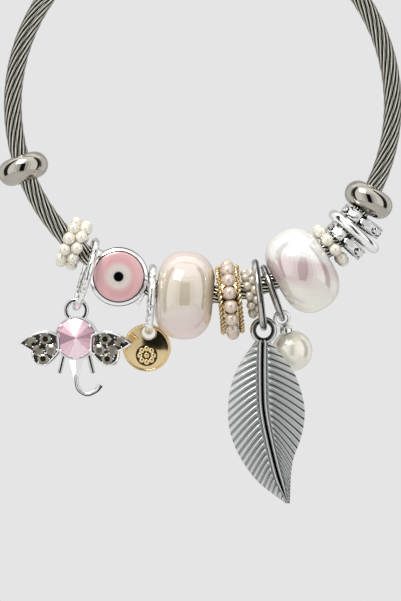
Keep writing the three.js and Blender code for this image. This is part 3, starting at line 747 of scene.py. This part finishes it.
def glazeMaterial(glaze, place):
    base = glaze["colours"][0][1]
    material = plainMaterial(glaze["name"], base, 0.0, glaze["roughness"], **glaze["finish"])
    graph = Graph(material.node_tree)
    # The colour runs from the bead's bottom to its top; a darker band across the middle is painted
    # reflection.
    height = graph.separate(graph.offsetFrom(place.translation))["Z"]
    share = graph.math("MULTIPLY_ADD", height, glaze["rise"] / mm, 0.5)
    coords = graph.node("ShaderNodeTexCoord")["Object"]
    swirl = graph.math("SUBTRACT", graph.noise(glaze["scale"], glaze["detail"], Vector=coords), 0.5)
    drift = graph.math("MULTIPLY", swirl, glaze["drift"])
    return paint(material, graph, graph.math("ADD", share, drift), glaze["colours"])


def makeBead(name, glaze):
    bead = {"radius": 7.05, "half": 4.9, "power": 2.5, "bore": 2.75, "lip": 3.5, "sides": 128, "steps": 64}
    lipAngle = math.acos((bead["lip"] / bead["radius"]) ** (bead["power"] / 2))
    profile = []
    for i in range(bead["steps"] + 1):
        a = lipAngle * (2 * i / bead["steps"] - 1)
        bulge = bead["half"] * abs(math.sin(a)) ** (2 / bead["power"])
        profile.append((bead["radius"] * math.cos(a) ** (2 / bead["power"]), math.copysign(bulge, a)))
    end = profile[-1][1]
    profile = [(bead["bore"], -end), *profile, (bead["bore"], end)]
    form = Form().add(*turned(profile, bead["sides"]), placeOf(name))
    dress(name, form, "plain", glazeMaterial(glaze, placeOf(name)))


def makeCreamBead():
    glaze = {
        "name": "creamGlaze", "roughness": 0.03, "rise": 0.07,
        "scale": 150.0, "drift": 0.35, "detail": 1.0,
        "finish": {"IOR": 2.5, "Coat_Weight": 0.4},
        # Pinker at the bottom, the glaze's own colour; the darker middle band is painted reflection.
        "colours": (
            (0.05, (0.83, 0.65, 0.60)), (0.3, (0.73, 0.64, 0.55)), (0.5, (0.60, 0.53, 0.41)),
            (0.68, (0.61, 0.53, 0.42)), (0.95, (0.72, 0.59, 0.53)),
        ),
    }
    makeBead("bead_cream", glaze)


def makeIridescentBead():
    glaze = {
        "name": "iridescentGlaze", "roughness": 0.03, "rise": 0.07,
        "scale": 170.0, "drift": 0.6, "detail": 1.0,
        "finish": {"IOR": 3.0, "Specular_Tint": (0.94, 1.0, 0.98, 1.0), "Coat_Weight": 0.4},
        # The mauve middle band is painted reflection; the pale ends are the glaze's own colour.
        "colours": (
            (0.0, (0.96, 0.90, 0.77)), (0.32, (0.88, 0.81, 0.70)), (0.47, (0.63, 0.48, 0.46)),
            (0.55, (0.62, 0.47, 0.48)), (0.66, (0.80, 0.76, 0.73)), (1.0, (0.87, 0.85, 0.80)),
        ),
    }
    makeBead("bead_iridescent", glaze)


def makeGoldRing():
    ring = {"crest": 5.14, "rimPlace": 1.5, "floor": 4.1, "bore": 2.9, "wall": 0.3, "sides": 96}
    rope = {
        "Radius": ring["crest"], "Wire": 0.42, "Flatness": 0.62, "Twists": 21.0,
        "Groove": 0.85, "Crest": 0.95, "Steps": 504, "Sides": 12,
    }
    pearls = {
        "Rows": 1, "Count": 16, "Ring Radius": 5.5, "Spacing": 1.0, "Offset": 0.5, "Pearl Radius": 1.07,
        "Size Spread": 0.03, "Seed": 2, **pearlFaces,
    }
    place = placeOf("gold_ring")
    outer = ring["rimPlace"] + ring["wall"]
    inner = ring["rimPlace"] - ring["wall"]
    upper = [(ring["floor"], inner), (ring["crest"], inner), (ring["crest"], outer), (ring["bore"], outer)]
    form = Form().add(*turned(mirrored(upper), ring["sides"]), place)
    for height in (-ring["rimPlace"], ring["rimPlace"]):
        form.addMesh(grown("rope", {**rope, "Height": height}, "gold"), place)
    dress("gold_ring_frame", form, "plain", looks["gold"], name="goldRing")
    string = Form().addMesh(grown("pearls", pearls, "rosePearl"), place)
    dress("gold_ring_pearls", string, "plain", looks["rosePearl"])


def makeRondelle(name):
    rondelle = {
        "radius": 3.65, "half": 0.86, "flange": 0.27, "floor": 3.15, "bore": 2.85, "sides": 80,
        "stones": 8, "firstStone": 0.25, "film": 0.01, "edge": 0.07, "edgeShade": 0.85,
    }
    gems = {
        "Girdle": 0.58, "Table": 0.5, "Rise": 0.5, "Sides": 8, "Stretch": 1.75, "Tone": 0.12,
        "Wobble": (0.12, 0.12, 0.0), "Seed": 3, "Spread": (1.0, 1.0, 0.0), "Facing": (0.0, 0.0, 0.0),
    }
    radius = rondelle["radius"]
    half = rondelle["half"]
    inner = half - rondelle["flange"]
    upper = [(rondelle["floor"], inner), (radius, inner), (radius, half), (rondelle["bore"], half)]
    form = Form().add(*turned(mirrored(upper), rondelle["sides"]), placeOf(name))
    crest = radius + rondelle["film"]
    # Painted shade: dark lines along the edges of both flanges, where shade falls between the parts, laid
    # just above the flange.
    for start in (-half, -inner - rondelle["edge"], inner, half - rondelle["edge"]):
        edge = [(crest, start), (crest, start + rondelle["edge"])]
        form.add(*turned(edge, rondelle["sides"], False), placeOf(name), rondelle["edgeShade"])
    around = circle(rondelle["stones"], rondelle["firstStone"])
    seats = [(rondelle["floor"] * x, rondelle["floor"] * y, 0) for x, y in around]
    form.addMesh(grown("gems", gems, "silver", pointMesh(seats)), placeOf(name))
    dress(name, form, "stepped", looks["silver"])


# Rings round the cable.
def makeHammeredRing(name, body):
    ring = rings[name]
    hammered = {
        "Radius": ring["radius"], "Wire": ring["wire"], "Depth": 0.3, "Level": 0.6, "Dent Scale": 1.3,
        "Dent Detail": 1.0, "Streak": 0.6, "Streak Scale": 1.9, "Streak Detail": 2.0, "Streak Low": 0.5,
        "Streak High": 0.7, "Steps": 160, "Sides": 20,
    }
    form = Form().addMesh(grown("hammered", hammered, "silver"), ringFrame(ring))
    dress(name, form, "soft", looks["silver"], body)


def makeSplitRing(name, body, splitAngle):
    ring = rings[name]
    # Painted dark reflection lines along the ring at the places that line names; the rest is slightly darker.
    split = {"gap": 1.6, "around": 140, "sides": 20, "line": (1, 2, 11, 12), "tone": 0.1}
    points, faces = hoop(ring["radius"], ring["wire"], split["around"], split["sides"], split["gap"])
    tones = reflectionLineTones(points, split["sides"], split["line"], split["tone"])
    form = Form().add(points, faces, ringFrame(ring) @ rotation(splitAngle, "Z"), tones)
    dress(name, form, "plain", looks["ringSteel"], body)


# The eye bead.
def eyeMaterial(centre, radius):
    # The black ring at 0.99 is painted shade for the recess between dome and frame; the black at the middle
    # is the pupil.
    enamel = {
        "base": (0.7, 0.4, 0.42), "roughness": 0.08,
        "rings": (
            (0.18, (0.002, 0.002, 0.002)), (0.22, (0.62, 0.56, 0.52)), (0.40, (0.70, 0.62, 0.57)),
            (0.62, (0.68, 0.38, 0.39)), (0.97, (0.72, 0.42, 0.43)), (0.99, (0.02, 0.02, 0.02)),
        ),
    }
    material = plainMaterial("pinkEnamel", enamel["base"], 0.0, enamel["roughness"], Coat_Weight=1.0)
    graph = Graph(material.node_tree)
    flat = graph.vector("MULTIPLY", graph.offsetFrom(centre), (1.0, 0.0, 1.0))
    share = graph.math("DIVIDE", graph.vector("LENGTH", flat), radius * mm)
    return paint(material, graph, share, enamel["rings"])


def makeEye():
    eye = {
        "radius": 4.7, "half": 3.2, "recess": 4.14, "recessDepth": 0.45, "slope": 0.3, "edge": 0.13,
        "bore": 2.3, "boreLength": 14.1, "boreSides": 64, "collar": 2.7, "collarHalf": 4.85,
        "dome": 4.02, "domeRise": 0.6, "domeGap": 0.1, "sides": 128, "steps": 12,
    }
    place = placeOf("eye_bead")
    floor = eye["half"] - eye["recessDepth"]
    shoulder = eye["half"] - eye["slope"]
    upper = [
        (eye["radius"], shoulder), (eye["radius"] - eye["edge"], shoulder), (eye["recess"], eye["half"]),
        (eye["recess"], floor), (0.0, floor),
    ]
    drum = Form().add(*turned(mirrored(upper), eye["sides"], False), facingFront(origin))
    bore = Form().add(*rod(eye["bore"], eye["boreLength"], eye["boreSides"]))
    form = Form().addMesh(cutAway(drum, bore, "crisp"), place @ Matrix.Scale(1 / mm, 4))
    form.add(*tube(eye["bore"], eye["collar"], eye["collarHalf"], eye["boreSides"]), place)
    dress("eye_frame", form, "crisp", looks["silver"])

    enamel = eyeMaterial(place.translation, eye["dome"])
    base = floor + eye["domeGap"]
    crown = []
    for i in range(eye["steps"] + 1):
        a = math.pi / 2 * i / eye["steps"]
        crown.append((eye["dome"] * math.cos(a), eye["half"] + eye["domeRise"] * math.sin(a)))
    dome = turned([(0.0, base), (eye["dome"], base), *crown], eye["sides"], False)
    for node, side in (("eye_dome_front", 90), ("eye_dome_back", -90)):
        dress(node, Form().add(*dome, place @ rotation(side, "X")), "plain", enamel)


# The elephant, drawn from the middle of its stone.
def earForm(side, rows):
    ear = {"middle": (5.5, -1.25), "steps": 12}
    bends = (  # corner, then the point that pulls the line to the next corner
        ((2.5, 0.6), (5.6, 2.3)),
        ((9.3, -0.8), (8.2, -1.45)),
        ((7.1, -2.1), (7.2, -4.6)),
        ((5.3, -4.6), (4.2, -4.5)),
        ((2.4, -2.2), (2.3, -0.8)),
    )
    outline = []
    for i, (corner, pull) in enumerate(bends):
        following = bends[(i + 1) % len(bends)][0]
        for k in range(ear["steps"]):
            t = k / ear["steps"]
            outline.append(blend(((1 - t) ** 2, 2 * t * (1 - t), t**2), (corner, pull, following)))
    middleX, middleZ = ear["middle"]
    points = []
    for scale, front in rows:
        for x, z in outline:
            points.append((side * (middleX + (x - middleX) * scale), -front, middleZ + (z - middleZ) * scale))
    return points, rowFaces(len(rows), len(outline), False) + endFaces(len(points), len(outline))


def rivoliMaterial(place):
    facet = {
        "count": 16, "base": (0.9, 0.7, 0.8), "metallic": 0.15, "roughness": 0.08,
        "spread": 0.2, "sideways": 0.85,
        "stops": ((0.5, (0.95, 0.75, 0.81)), (0.78, (0.76, 0.48, 0.57)), (0.98, (0.34, 0.20, 0.26))),
    }
    material = plainMaterial("pinkCrystal", facet["base"], facet["metallic"], facet["roughness"])
    graph = Graph(material.node_tree)
    x, _, z = graph.separate(graph.offsetFrom(place))
    step = fullTurn / facet["count"]
    wedge = graph.math("SNAP", graph.math("ARCTAN2", z, x), step)
    # Painted reflection: the more a facet faces sideways, the darker mauve it is.
    sideways = graph.math("ABSOLUTE", graph.math("COSINE", graph.math("ADD", wedge, step / 2)))
    chance = graph.node("ShaderNodeTexWhiteNoise", {"noise_dimensions": "1D"}, W=wedge)["Value"]
    sideReflection = graph.math("MULTIPLY", sideways, facet["sideways"])
    share = graph.math("MULTIPLY_ADD", chance, facet["spread"], sideReflection)
    return paint(material, graph, share, facet["stops"])


def makeElephant():
    elephant = {
        "eyeletRadius": 1.68, "eyeletWire": 0.36, "eyeletRise": 4.45, "eyeletSteps": 72, "yaw": -8,
        "cup": 3.5, "cupFront": 0.45, "cupBack": 0.9, "cupRim": 0.7, "cupSeat": 0.3, "cupGap": 0.05,
        "stone": 3.2, "stoneFront": 1.9, "girdleFront": 0.75, "girdleBack": 0.6, "table": 0.5, "facets": 16,
        "cupSides": 64, "bladeDepth": 0.42, "wireTone": 0.12, "plateShade": 0.9,
        "grainFront": 1.12, "gemFront": 1.05,
    }
    claw = {"radius": 0.3, "steps": 8, "sides": 16, "reach": 3.1, "front": 0.85, "depth": 1.4}
    clawAngles = (40, 140, 220, 320)
    wires = {  # stations of x, z and radius; line names the places of the section painted dark, a painted dark reflection line along the wire
        "eyelet": {"sides": 16, "line": (4, 5, 11, 12)},
        "trunk": {"sides": 24, "steps": 10, "line": (14, 15, 16)},
        "tusk": {"sides": 16, "steps": 8, "line": (12, 13)},
        "blade": {"sides": 4, "steps": 6},
    }
    blade = [(0, -2.9, 1.2), (0, -4.3, 1.0), (0, -5.7, 0.62), (0.02, -7.2, 0.3)]
    trunk = [
        (0, -5.6, 0.2), (0.02, -6.6, 0.34), (0.4, -8.15, 0.36), (1.71, -8.95, 0.36), (3.05, -8.5, 0.36),
        (3.65, -7.85, 0.46), (3.95, -7.45, 0.46),
    ]
    tusk = [(2.0, -2.6, 0.42), (2.4, -4.2, 0.42), (2.75, -5.6, 0.36)]
    earRows = [(0.97, 0.0), (1.0, 0.15), (1.0, 0.85), (0.97, 1.0), (0.92, 1.05), (0.86, 1.0), (0.84, 0.55)]
    plateRows = [(0.83, 0.6), (0.83, 0.7), (0.81, 0.7)]  # share of the outline, distance to the front
    paveSeats = [(4.85, -0.1), (7.2, -0.45), (3.9, -1.85), (6.0, -1.95), (5.2, -3.3)]
    facing = {"Spread": (0.0, 0.0, 0.0), "Facing": (0.0, -1.0, 0.0)}
    grains = {"Count": 5, "Ring Radius": 0.98, "Grain Radius": 0.15, "Segments": 12, "Rings": 8, **facing}
    gems = {
        "Girdle": 0.95, "Table": 0.5, "Rise": 0.2, "Sides": 7, "Stretch": 1.0, "Tone": 0.25,
        "Wobble": (0.16, 0.16, 0.6), "Seed": 4, **facing,
    }
    hook = hungPlace(rings["elephant_bail"], elephant["eyeletRadius"] - elephant["eyeletWire"])
    figure = Matrix.Translation(hook - up * elephant["eyeletRise"]) @ rotation(elephant["yaw"], "Z")
    front = figure @ facingFront(origin)
    form = Form()

    def addWire(shape, place, wire):
        points, faces = shape
        form.add(points, faces, place, reflectionLineTones(points, wire["sides"], wire["line"], elephant["wireTone"]))

    def seatsOn(side, forward):
        return pointMesh([(side * x, -forward, z) for x, z in paveSeats])

    seat = elephant["stone"] + elephant["cupGap"]
    cup = [
        (0.0, -elephant["cupBack"]), (elephant["cup"], -elephant["cupBack"]),
        (elephant["cup"], elephant["cupRim"]), (seat, elephant["cupRim"]),
        (seat, elephant["cupSeat"]), (0.0, -elephant["cupFront"]),
    ]
    form.add(*turned(cup, elephant["cupSides"], False), front)
    for side in (-1, 1):
        form.add(*earForm(side, earRows), figure)
        addWire(bar(tusk, wires["tusk"]["sides"], wires["tusk"]["steps"], side), figure, wires["tusk"])
    addWire(bar(trunk, wires["trunk"]["sides"], wires["trunk"]["steps"]), figure, wires["trunk"])
    flattened = figure @ Matrix.Diagonal((1, elephant["bladeDepth"], 1, 1))
    form.add(*bar(blade, wires["blade"]["sides"], wires["blade"]["steps"]), flattened)
    eyelet = hoop(
        elephant["eyeletRadius"], elephant["eyeletWire"], elephant["eyeletSteps"], wires["eyelet"]["sides"]
    )
    addWire(eyelet, figure @ facingFront(up * elephant["eyeletRise"]), wires["eyelet"])
    tip = turned(roundStretch(0, 0, claw["radius"], -90, 90, claw["steps"]), claw["sides"], False)
    for angle in clawAngles:
        a = math.radians(angle)
        place = Matrix.Translation((claw["reach"] * math.cos(a), -claw["front"], claw["reach"] * math.sin(a)))
        form.add(*tip, figure @ place @ Matrix.Diagonal((1.0, claw["depth"], 1.0, 1.0)))
    for side in (-1, 1):
        form.addMesh(grown("grains", grains, "silver", seatsOn(side, elephant["grainFront"])), figure)
    dress("elephant_body", form, "crisp", looks["silver"], "elephant")

    stone = [
        (0.0, -elephant["cupFront"]), (elephant["stone"], elephant["girdleBack"]),
        (elephant["stone"], elephant["girdleFront"]), (elephant["table"], elephant["stoneFront"]),
        (0.0, elephant["stoneFront"]),
    ]
    cut = Form().add(*turned(stone, elephant["facets"], False), front)
    dress("elephant_stone", cut, "cut", rivoliMaterial(figure.translation), "elephant")

    for side, node in ((-1, "ear_stones_left"), (1, "ear_stones_right")):
        # The plate under the ear stones is painted shade: it darkens the gaps between the stones.
        stones = Form().add(*earForm(side, plateRows), figure, elephant["plateShade"])
        stones.addMesh(grown("gems", gems, "darkCrystal", seatsOn(side, elephant["gemFront"])), figure)
        dress(node, stones, "cut", looks["darkCrystal"], "elephant")


# The coin, with a plain flower on it.
def makeCoin():
    coin = {
        "x": -9.05, "z": -39.1, "radius": 3.85, "half": 0.6, "field": 0.45, "rim": 0.4, "rimSteps": 10,
        "hole": 1.12, "holeLength": 2.4, "holeSides": 64, "collar": 1.4, "collarDepth": 4.2,
        "collarSides": 16, "sides": 128, "faceSteps": 12, "dome": 0.25,
    }
    flower = {"drop": 1.1, "depth": 0.5, "medal": 1.75, "medalDepth": 0.1, "medalTone": 0.8}
    petals = {
        "Rows": 1, "Count": 8, "Ring Radius": 1.1, "Spacing": 1.0, "Offset": 0.0, "Pearl Radius": 0.46,
        "Size Spread": 0.0, "Seed": 1, **pearlFaces,
    }
    ring = rings["coin_bail"]
    centre = fromCentre(coin["x"], coin["z"])
    drop = swingOf(ring) @ Matrix.Translation(centre)
    hole = facingFront(hungPlace(ring, coin["hole"]) - centre)
    bend = coin["rim"] / 2
    upper = roundStretch(coin["radius"] - bend, coin["half"] - bend, bend, 0, 180, coin["rimSteps"])
    for i in range(coin["faceSteps"] + 1):
        share = 1 - i / coin["faceSteps"]
        height = coin["field"] + coin["dome"] * (1 - share**2)
        upper.append(((coin["radius"] - 2 * coin["rim"]) * share, height))
    disc = Form().add(*turned(mirrored(upper), coin["sides"], False), facingFront(origin))
    bore = Form().add(*rod(coin["hole"], coin["holeLength"], coin["holeSides"]), hole)
    form = Form().addMesh(cutAway(disc, bore, "crisp"), drop @ Matrix.Scale(1 / mm, 4))
    lip = (coin["collar"] - coin["hole"]) / 2
    collar = hoop(coin["hole"] + lip, lip, coin["holeSides"], coin["collarSides"])
    form.add(*collar, drop @ hole @ Matrix.Diagonal((1, 1, coin["collarDepth"], 1)))
    middle = facingFront((0, -coin["field"] - coin["dome"], -flower["drop"]))
    middle = drop @ middle @ Matrix.Diagonal((1, 1, flower["depth"], 1))
    form.add(*rod(flower["medal"], flower["medalDepth"], coin["holeSides"]), middle, flower["medalTone"])
    for more in ({}, {"Count": 1, "Ring Radius": 0.0}):
        form.addMesh(grown("pearls", {**petals, **more}, "gold"), middle)
    dress("coin_charm", form, "crisp", looks["gold"])


# The leaf: rows run out from the rib along its veins, and columns from the left margin to the right one.
def makeLeaf():
    leaf = {
        "eyeletRadius": 1.68, "eyeletWire": 0.5, "eyeletSteps": 72, "eyeletSides": 20,
        "eyeletReflectionLine": (6, 7, 13, 14), "veins": 26, "veinLead": 0.17, "rowsPerVein": 18, "bladeSteps": 20,
        "bow": 1.2, "front": 0.35, "back": 0.3, "marginFront": 0.12, "marginRidge": 0.3, "sideRelief": 0.25,
        "footRise": 8, "backRelief": -0.6, "backSeam": 0.6, "ribGroove": 0.05, "ribFoot": 0.75, "ribShare": 4,
        "curl": 0.45, "curlWidth": 6.0, "pathSteps": 24,
    }
    relief = {"Rise": 0.12, "Ridge": 0.3, "Line": 0.12, "Line Place": 0.3, "Flat": 0.4}
    stations = [  # distance down from the eyelet, then x of the rib, the left margin and the right margin
        (1.6, -0.15, -1.2, 0.85), (4.5, -0.22, -3.3, 3.2), (6.7, -0.23, -4.5, 4.8), (9.4, -0.2, -5.35, 5.85),
        (12.3, -0.07, -5.7, 6.5), (15.0, 0.33, -5.6, 6.4), (17.7, 0.9, -4.95, 5.75), (20.4, 1.53, -3.7, 4.75),
        (23.0, 2.2, -1.95, 4.35), (25.0, 2.85, 0.0, 4.25), (27.6, 3.8, 3.5, 4.15),
    ]
    ribColumns = [  # reach from the rib's middle, rise and darkness
        (1.0, 0.0, 0.7), (0.8, 0.25, 0.2), (0.55, 0.4, 0.0), (0.27, 0.38, 0.1), (0.17, 0.2, 1.0),
    ]
    dense = smoothPath(stations, leaf["pathSteps"])
    top = stations[0][0]
    tip = stations[-1][0]

    def shapeAt(down):
        for near, far in zip(dense, dense[1:]):
            if down <= far[0]:
                t = (down - near[0]) / (far[0] - near[0])
                return [near[c] + (far[c] - near[c]) * t for c in (1, 2, 3)]
        return dense[-1][1:]

    half = [{"share": 1 - i / leaf["bladeSteps"], "seam": 0.0} for i in range(leaf["bladeSteps"])]
    half += [{"reach": reach, "rise": rise, "seam": seam} for reach, rise, seam in ribColumns]
    columns = [{**column, "side": -1} for column in half]
    columns.append({"reach": 0.0, "rise": leaf["ribGroove"], "seam": 1.0, "side": 1})
    columns += [{**column, "side": 1} for column in reversed(half)]

    rowCount = leaf["veins"] * leaf["rowsPerVein"] + 1
    front = []
    rear = []
    veins = []
    blades = []
    seams = []
    for i in range(rowCount):
        t = i / (rowCount - 1)
        ribPlace = top + (tip - top) * t
        marginPlace = min(top + (tip - top) * (t + leaf["veinLead"] * math.sin(math.pi * t)), tip)
        rib = shapeAt(ribPlace)[0]
        _, left, right = shapeAt(marginPlace)
        ribWidth = leaf["ribFoot"] * min(1.0, (right - left) / (leaf["ribShare"] * leaf["ribFoot"]))
        for column in columns:
            side = column["side"]
            if "share" in column:
                u = column["share"]
                foot = rib + side * ribWidth
                x = foot + ((left if side < 0 else right) - foot) * u
                down = ribPlace + (marginPlace - ribPlace) * u ** leaf["bow"]
                height = leaf["front"] + (leaf["marginFront"] - leaf["front"]) * u**2
                blade = 1 + side * (leaf["sideRelief"] + leaf["marginRidge"] * u**4)
                blade *= min(1.0, leaf["footRise"] * u)
            else:
                x = rib + side * column["reach"] * ribWidth
                down = ribPlace
                height = leaf["front"] + column["rise"]
                blade = 0.0
            bend = leaf["curl"] * ((x - rib) / leaf["curlWidth"]) ** 2
            front.append((x, bend - height, -down))
            rear.append((x, bend + leaf["back"], -down))
            veins.append(t * leaf["veins"])
            blades.append(blade)
            seams.append(column["seam"])

    width = len(columns)
    size = rowCount * width
    faces = []
    for i in range(rowCount - 1):
        for j in range(width - 1):
            a = i * width + j
            b = a + width
            faces += [(a, a + 1, b + 1, b), (size + a, size + b, size + b + 1, size + a + 1)]
        for a in (i * width, (i + 1) * width - 1):
            faces.append((a, a + width, size + a + width, size + a))
    for start in (0, size - width):
        faces += [(a, a + 1, size + a + 1, size + a) for a in range(start, start + width - 1)]
    form = Form().add(front + rear, faces)
    eyelet = hoop(leaf["eyeletRadius"], leaf["eyeletWire"], leaf["eyeletSteps"], leaf["eyeletSides"])
    form.add(*eyelet, facingFront(origin))
    mesh = bpy.data.meshes.new("leafBase")
    mesh.from_pydata(form.points, [], form.faces)
    plain = [0.0] * len(eyelet[0])
    # Painted dark reflection lines on the polished eyelet, stored with the rib's seams.
    eyeletReflectionLines = reflectionLineTones(eyelet[0], leaf["eyeletSides"], leaf["eyeletReflectionLine"], 0.0)
    fields = {
        "vein": veins + veins + plain,
        "blade": blades + [leaf["backRelief"] * blade for blade in blades] + plain,
        "seam": seams + [leaf["backSeam"] * seam for seam in seams] + eyeletReflectionLines,
        "polish": [0.0] * (2 * size) + [1.0] * len(plain),
    }
    for name, values in fields.items():
        mesh.attributes.new(name, "FLOAT", "POINT").data.foreach_set("value", values)
    charm = grown("veins", relief, "antique", mesh)
    ring = rings["leaf_ring"]
    hook = hungPlace(ring, leaf["eyeletRadius"] - leaf["eyeletWire"])
    charm.transform(Matrix.Scale(mm, 4) @ swingOf(ring) @ Matrix.Translation(hook))
    dress("leaf_charm", charm, "soft", looks["antique"], "leaf")


# The pearl drop.
def makePearlDrop():
    drop = {
        "eyeletRadius": 1.15, "eyeletWire": 0.3, "eyeletSteps": 56, "eyeletSides": 16, "lean": 17.7,
        "drop": 5.7, "pearl": 3.3, "pearlSteps": 48, "pearlSides": 96, "capSides": 48,
    }
    cap = [  # radius and height, from the end of the peg up
        (0.0, -4.2), (0.35, -4.2), (0.35, -2.3), (0.85, -2.3),
        (1.25, -2.25), (1.25, -1.9), (0.75, -1.3), (0.0, -1.3),
    ]
    ring = rings["pearl_ring"]
    hook = hungPlace(ring, drop["eyeletRadius"] - drop["eyeletWire"], drop["lean"])
    place = swingOf(ring) @ Matrix.Translation(hook) @ rotation(-drop["lean"], "Y")
    form = Form().add(*turned(cap, drop["capSides"], False), place)
    eyelet = hoop(drop["eyeletRadius"], drop["eyeletWire"], drop["eyeletSteps"], drop["eyeletSides"])
    form.add(*eyelet, place @ facingFront(origin))
    dress("pearl_cap", form, "crisp", looks["silver"])
    ball = roundStretch(0, -drop["drop"], drop["pearl"], -90, 90, drop["pearlSteps"])
    form = Form().add(*turned(ball, drop["pearlSides"], False), place)
    dress("drop_pearl", form, "plain", looks["pearl"])


def makeStage():
    stage = {"height": -0.45, "reach": 0.8, "colour": (0.72, 0.72, 0.72), "roughness": 0.9}
    reach = stage["reach"]
    square = ((-reach, -reach), (reach, -reach), (reach, reach), (-reach, reach))
    corners = [(x, y, stage["height"]) for x, y in square]
    mesh = bpy.data.meshes.new("floor")
    mesh.from_pydata(corners, [], [(0, 1, 2, 3)])
    mesh.materials.append(plainMaterial("floorPaper", stage["colour"], 0.0, stage["roughness"]))
    linked("floor", mesh)
    print("stage made")


def makeCamera():
    view = {
        "distance": 450.0, "centreX": -0.37, "centreZ": -59.41, "frameHeight": 96.16,
        "sensor": 36.0, "nearest": 10.0,
    }
    data = bpy.data.cameras.new("camera")
    data.sensor_fit = "VERTICAL"
    data.sensor_height = view["sensor"]
    data.lens = view["sensor"] * view["distance"] / view["frameHeight"]
    data.clip_start = view["nearest"] * mm
    camera = linked("camera", data)
    camera.location = Vector((view["centreX"], -view["distance"], view["centreZ"])) * mm
    camera.rotation_euler = (math.radians(90), 0, 0)
    bpy.context.scene.camera = camera
    print("camera set")


def makeLight():
    light = {"backdrop": 0.784, "room": 0.9}
    key = {"place": (-0.2, -0.35, 0.5), "aim": (0.0, 0.0, -0.05), "size": 0.35, "power": 2.8}
    # Azimuth, elevation, half width, half height, soft edge and level. A later panel covers an earlier one.
    panels = (
        (0, 90, 180, 48, 8, 1.3),  # ceiling
        (0, -90, 180, 50, 8, 0.98),  # floor
        (52, 0, 24, 42, 3, 1.15),  # sides
        (-52, 0, 24, 42, 3, 1.15),
        (0, 0, 28, 38, 3, 0.68),  # front
        (87, 0, 13, 62, 3, 0.03),  # dark strips that draw the outlines
        (-87, 0, 13, 62, 3, 0.03),
        (180, 0, 42, 55, 6, 0.58),  # rear
        (36, 0, 1.2, 46, 0.8, 0.35),  # seams between the panels
        (-36, 0, 1.2, 46, 0.8, 0.35),
        (0, 46, 36, 1.2, 0.8, 0.4),
        (0, -46, 36, 1.2, 0.8, 0.4),
        (0, 0, 12, 34, 1, 0.01),  # dark opening in front
    )
    world = bpy.data.worlds.new("studio")
    world.use_nodes = True
    graph = Graph(world.node_tree)
    x, y, z = graph.separate(graph.node("ShaderNodeTexCoord")["Generated"])
    azimuth = graph.math("ARCTAN2", x, graph.math("MULTIPLY", y, -1.0))
    elevation = graph.math("ARCSINE", z)

    def within(angle, centre, reach, soft):
        offset = graph.math("SUBTRACT", angle, math.radians(centre))
        near = graph.math("ABSOLUTE", graph.math("WRAP", offset, -math.pi, math.pi))
        return graph.mapped(near, math.radians(reach + soft), math.radians(reach - soft), way="SMOOTHSTEP")

    level = light["room"]
    for panelAzimuth, panelElevation, width, height, soft, panelLevel in panels:
        across = within(azimuth, panelAzimuth, width, soft)
        upward = within(elevation, panelElevation, height, soft)
        level = graph.mixed(graph.math("MULTIPLY", across, upward), level, panelLevel)
    seen = graph.node("ShaderNodeLightPath")["Is Camera Ray"]
    shown = graph.mixed(seen, level, light["backdrop"])
    graph.feed(world.node_tree.nodes["Background"].inputs["Color"], shown)
    bpy.context.scene.world = world
    bpy.context.scene.view_settings.view_transform = "Standard"

    data = bpy.data.lights.new("key", "AREA")
    data.size = key["size"]
    data.energy = key["power"]
    lamp = linked("key", data)
    lamp.location = key["place"]
    lamp.rotation_euler = (Vector(key["aim"]) - Vector(key["place"])).to_track_quat("-Z", "Y").to_euler()
    print("light set")


makeCable()
makeSleeve()
makeStopper("stopper_left")
makeStopper("stopper_right")
makeSeedRing("seed_ring_left")
makeSeedRing("seed_ring_middle")
makeSeedRing("seed_ring_right")
makeCreamBead()
makeIridescentBead()
makeGoldRing()
makeRondelle("crystal_rondelle_lower")
makeSpacer()
makeRondelle("crystal_rondelle_upper")
makeHammeredRing("elephant_bail", "elephant_bail")
makeHammeredRing("coin_bail", "root")
makeSplitRing("leaf_ring", "leaf_bail", 203)
makeSplitRing("pearl_ring", "root", 170)
makeEye()
makeElephant()
makeCoin()
makeLeaf()
makePearlDrop()
makeStage()
makeCamera()
makeLight()
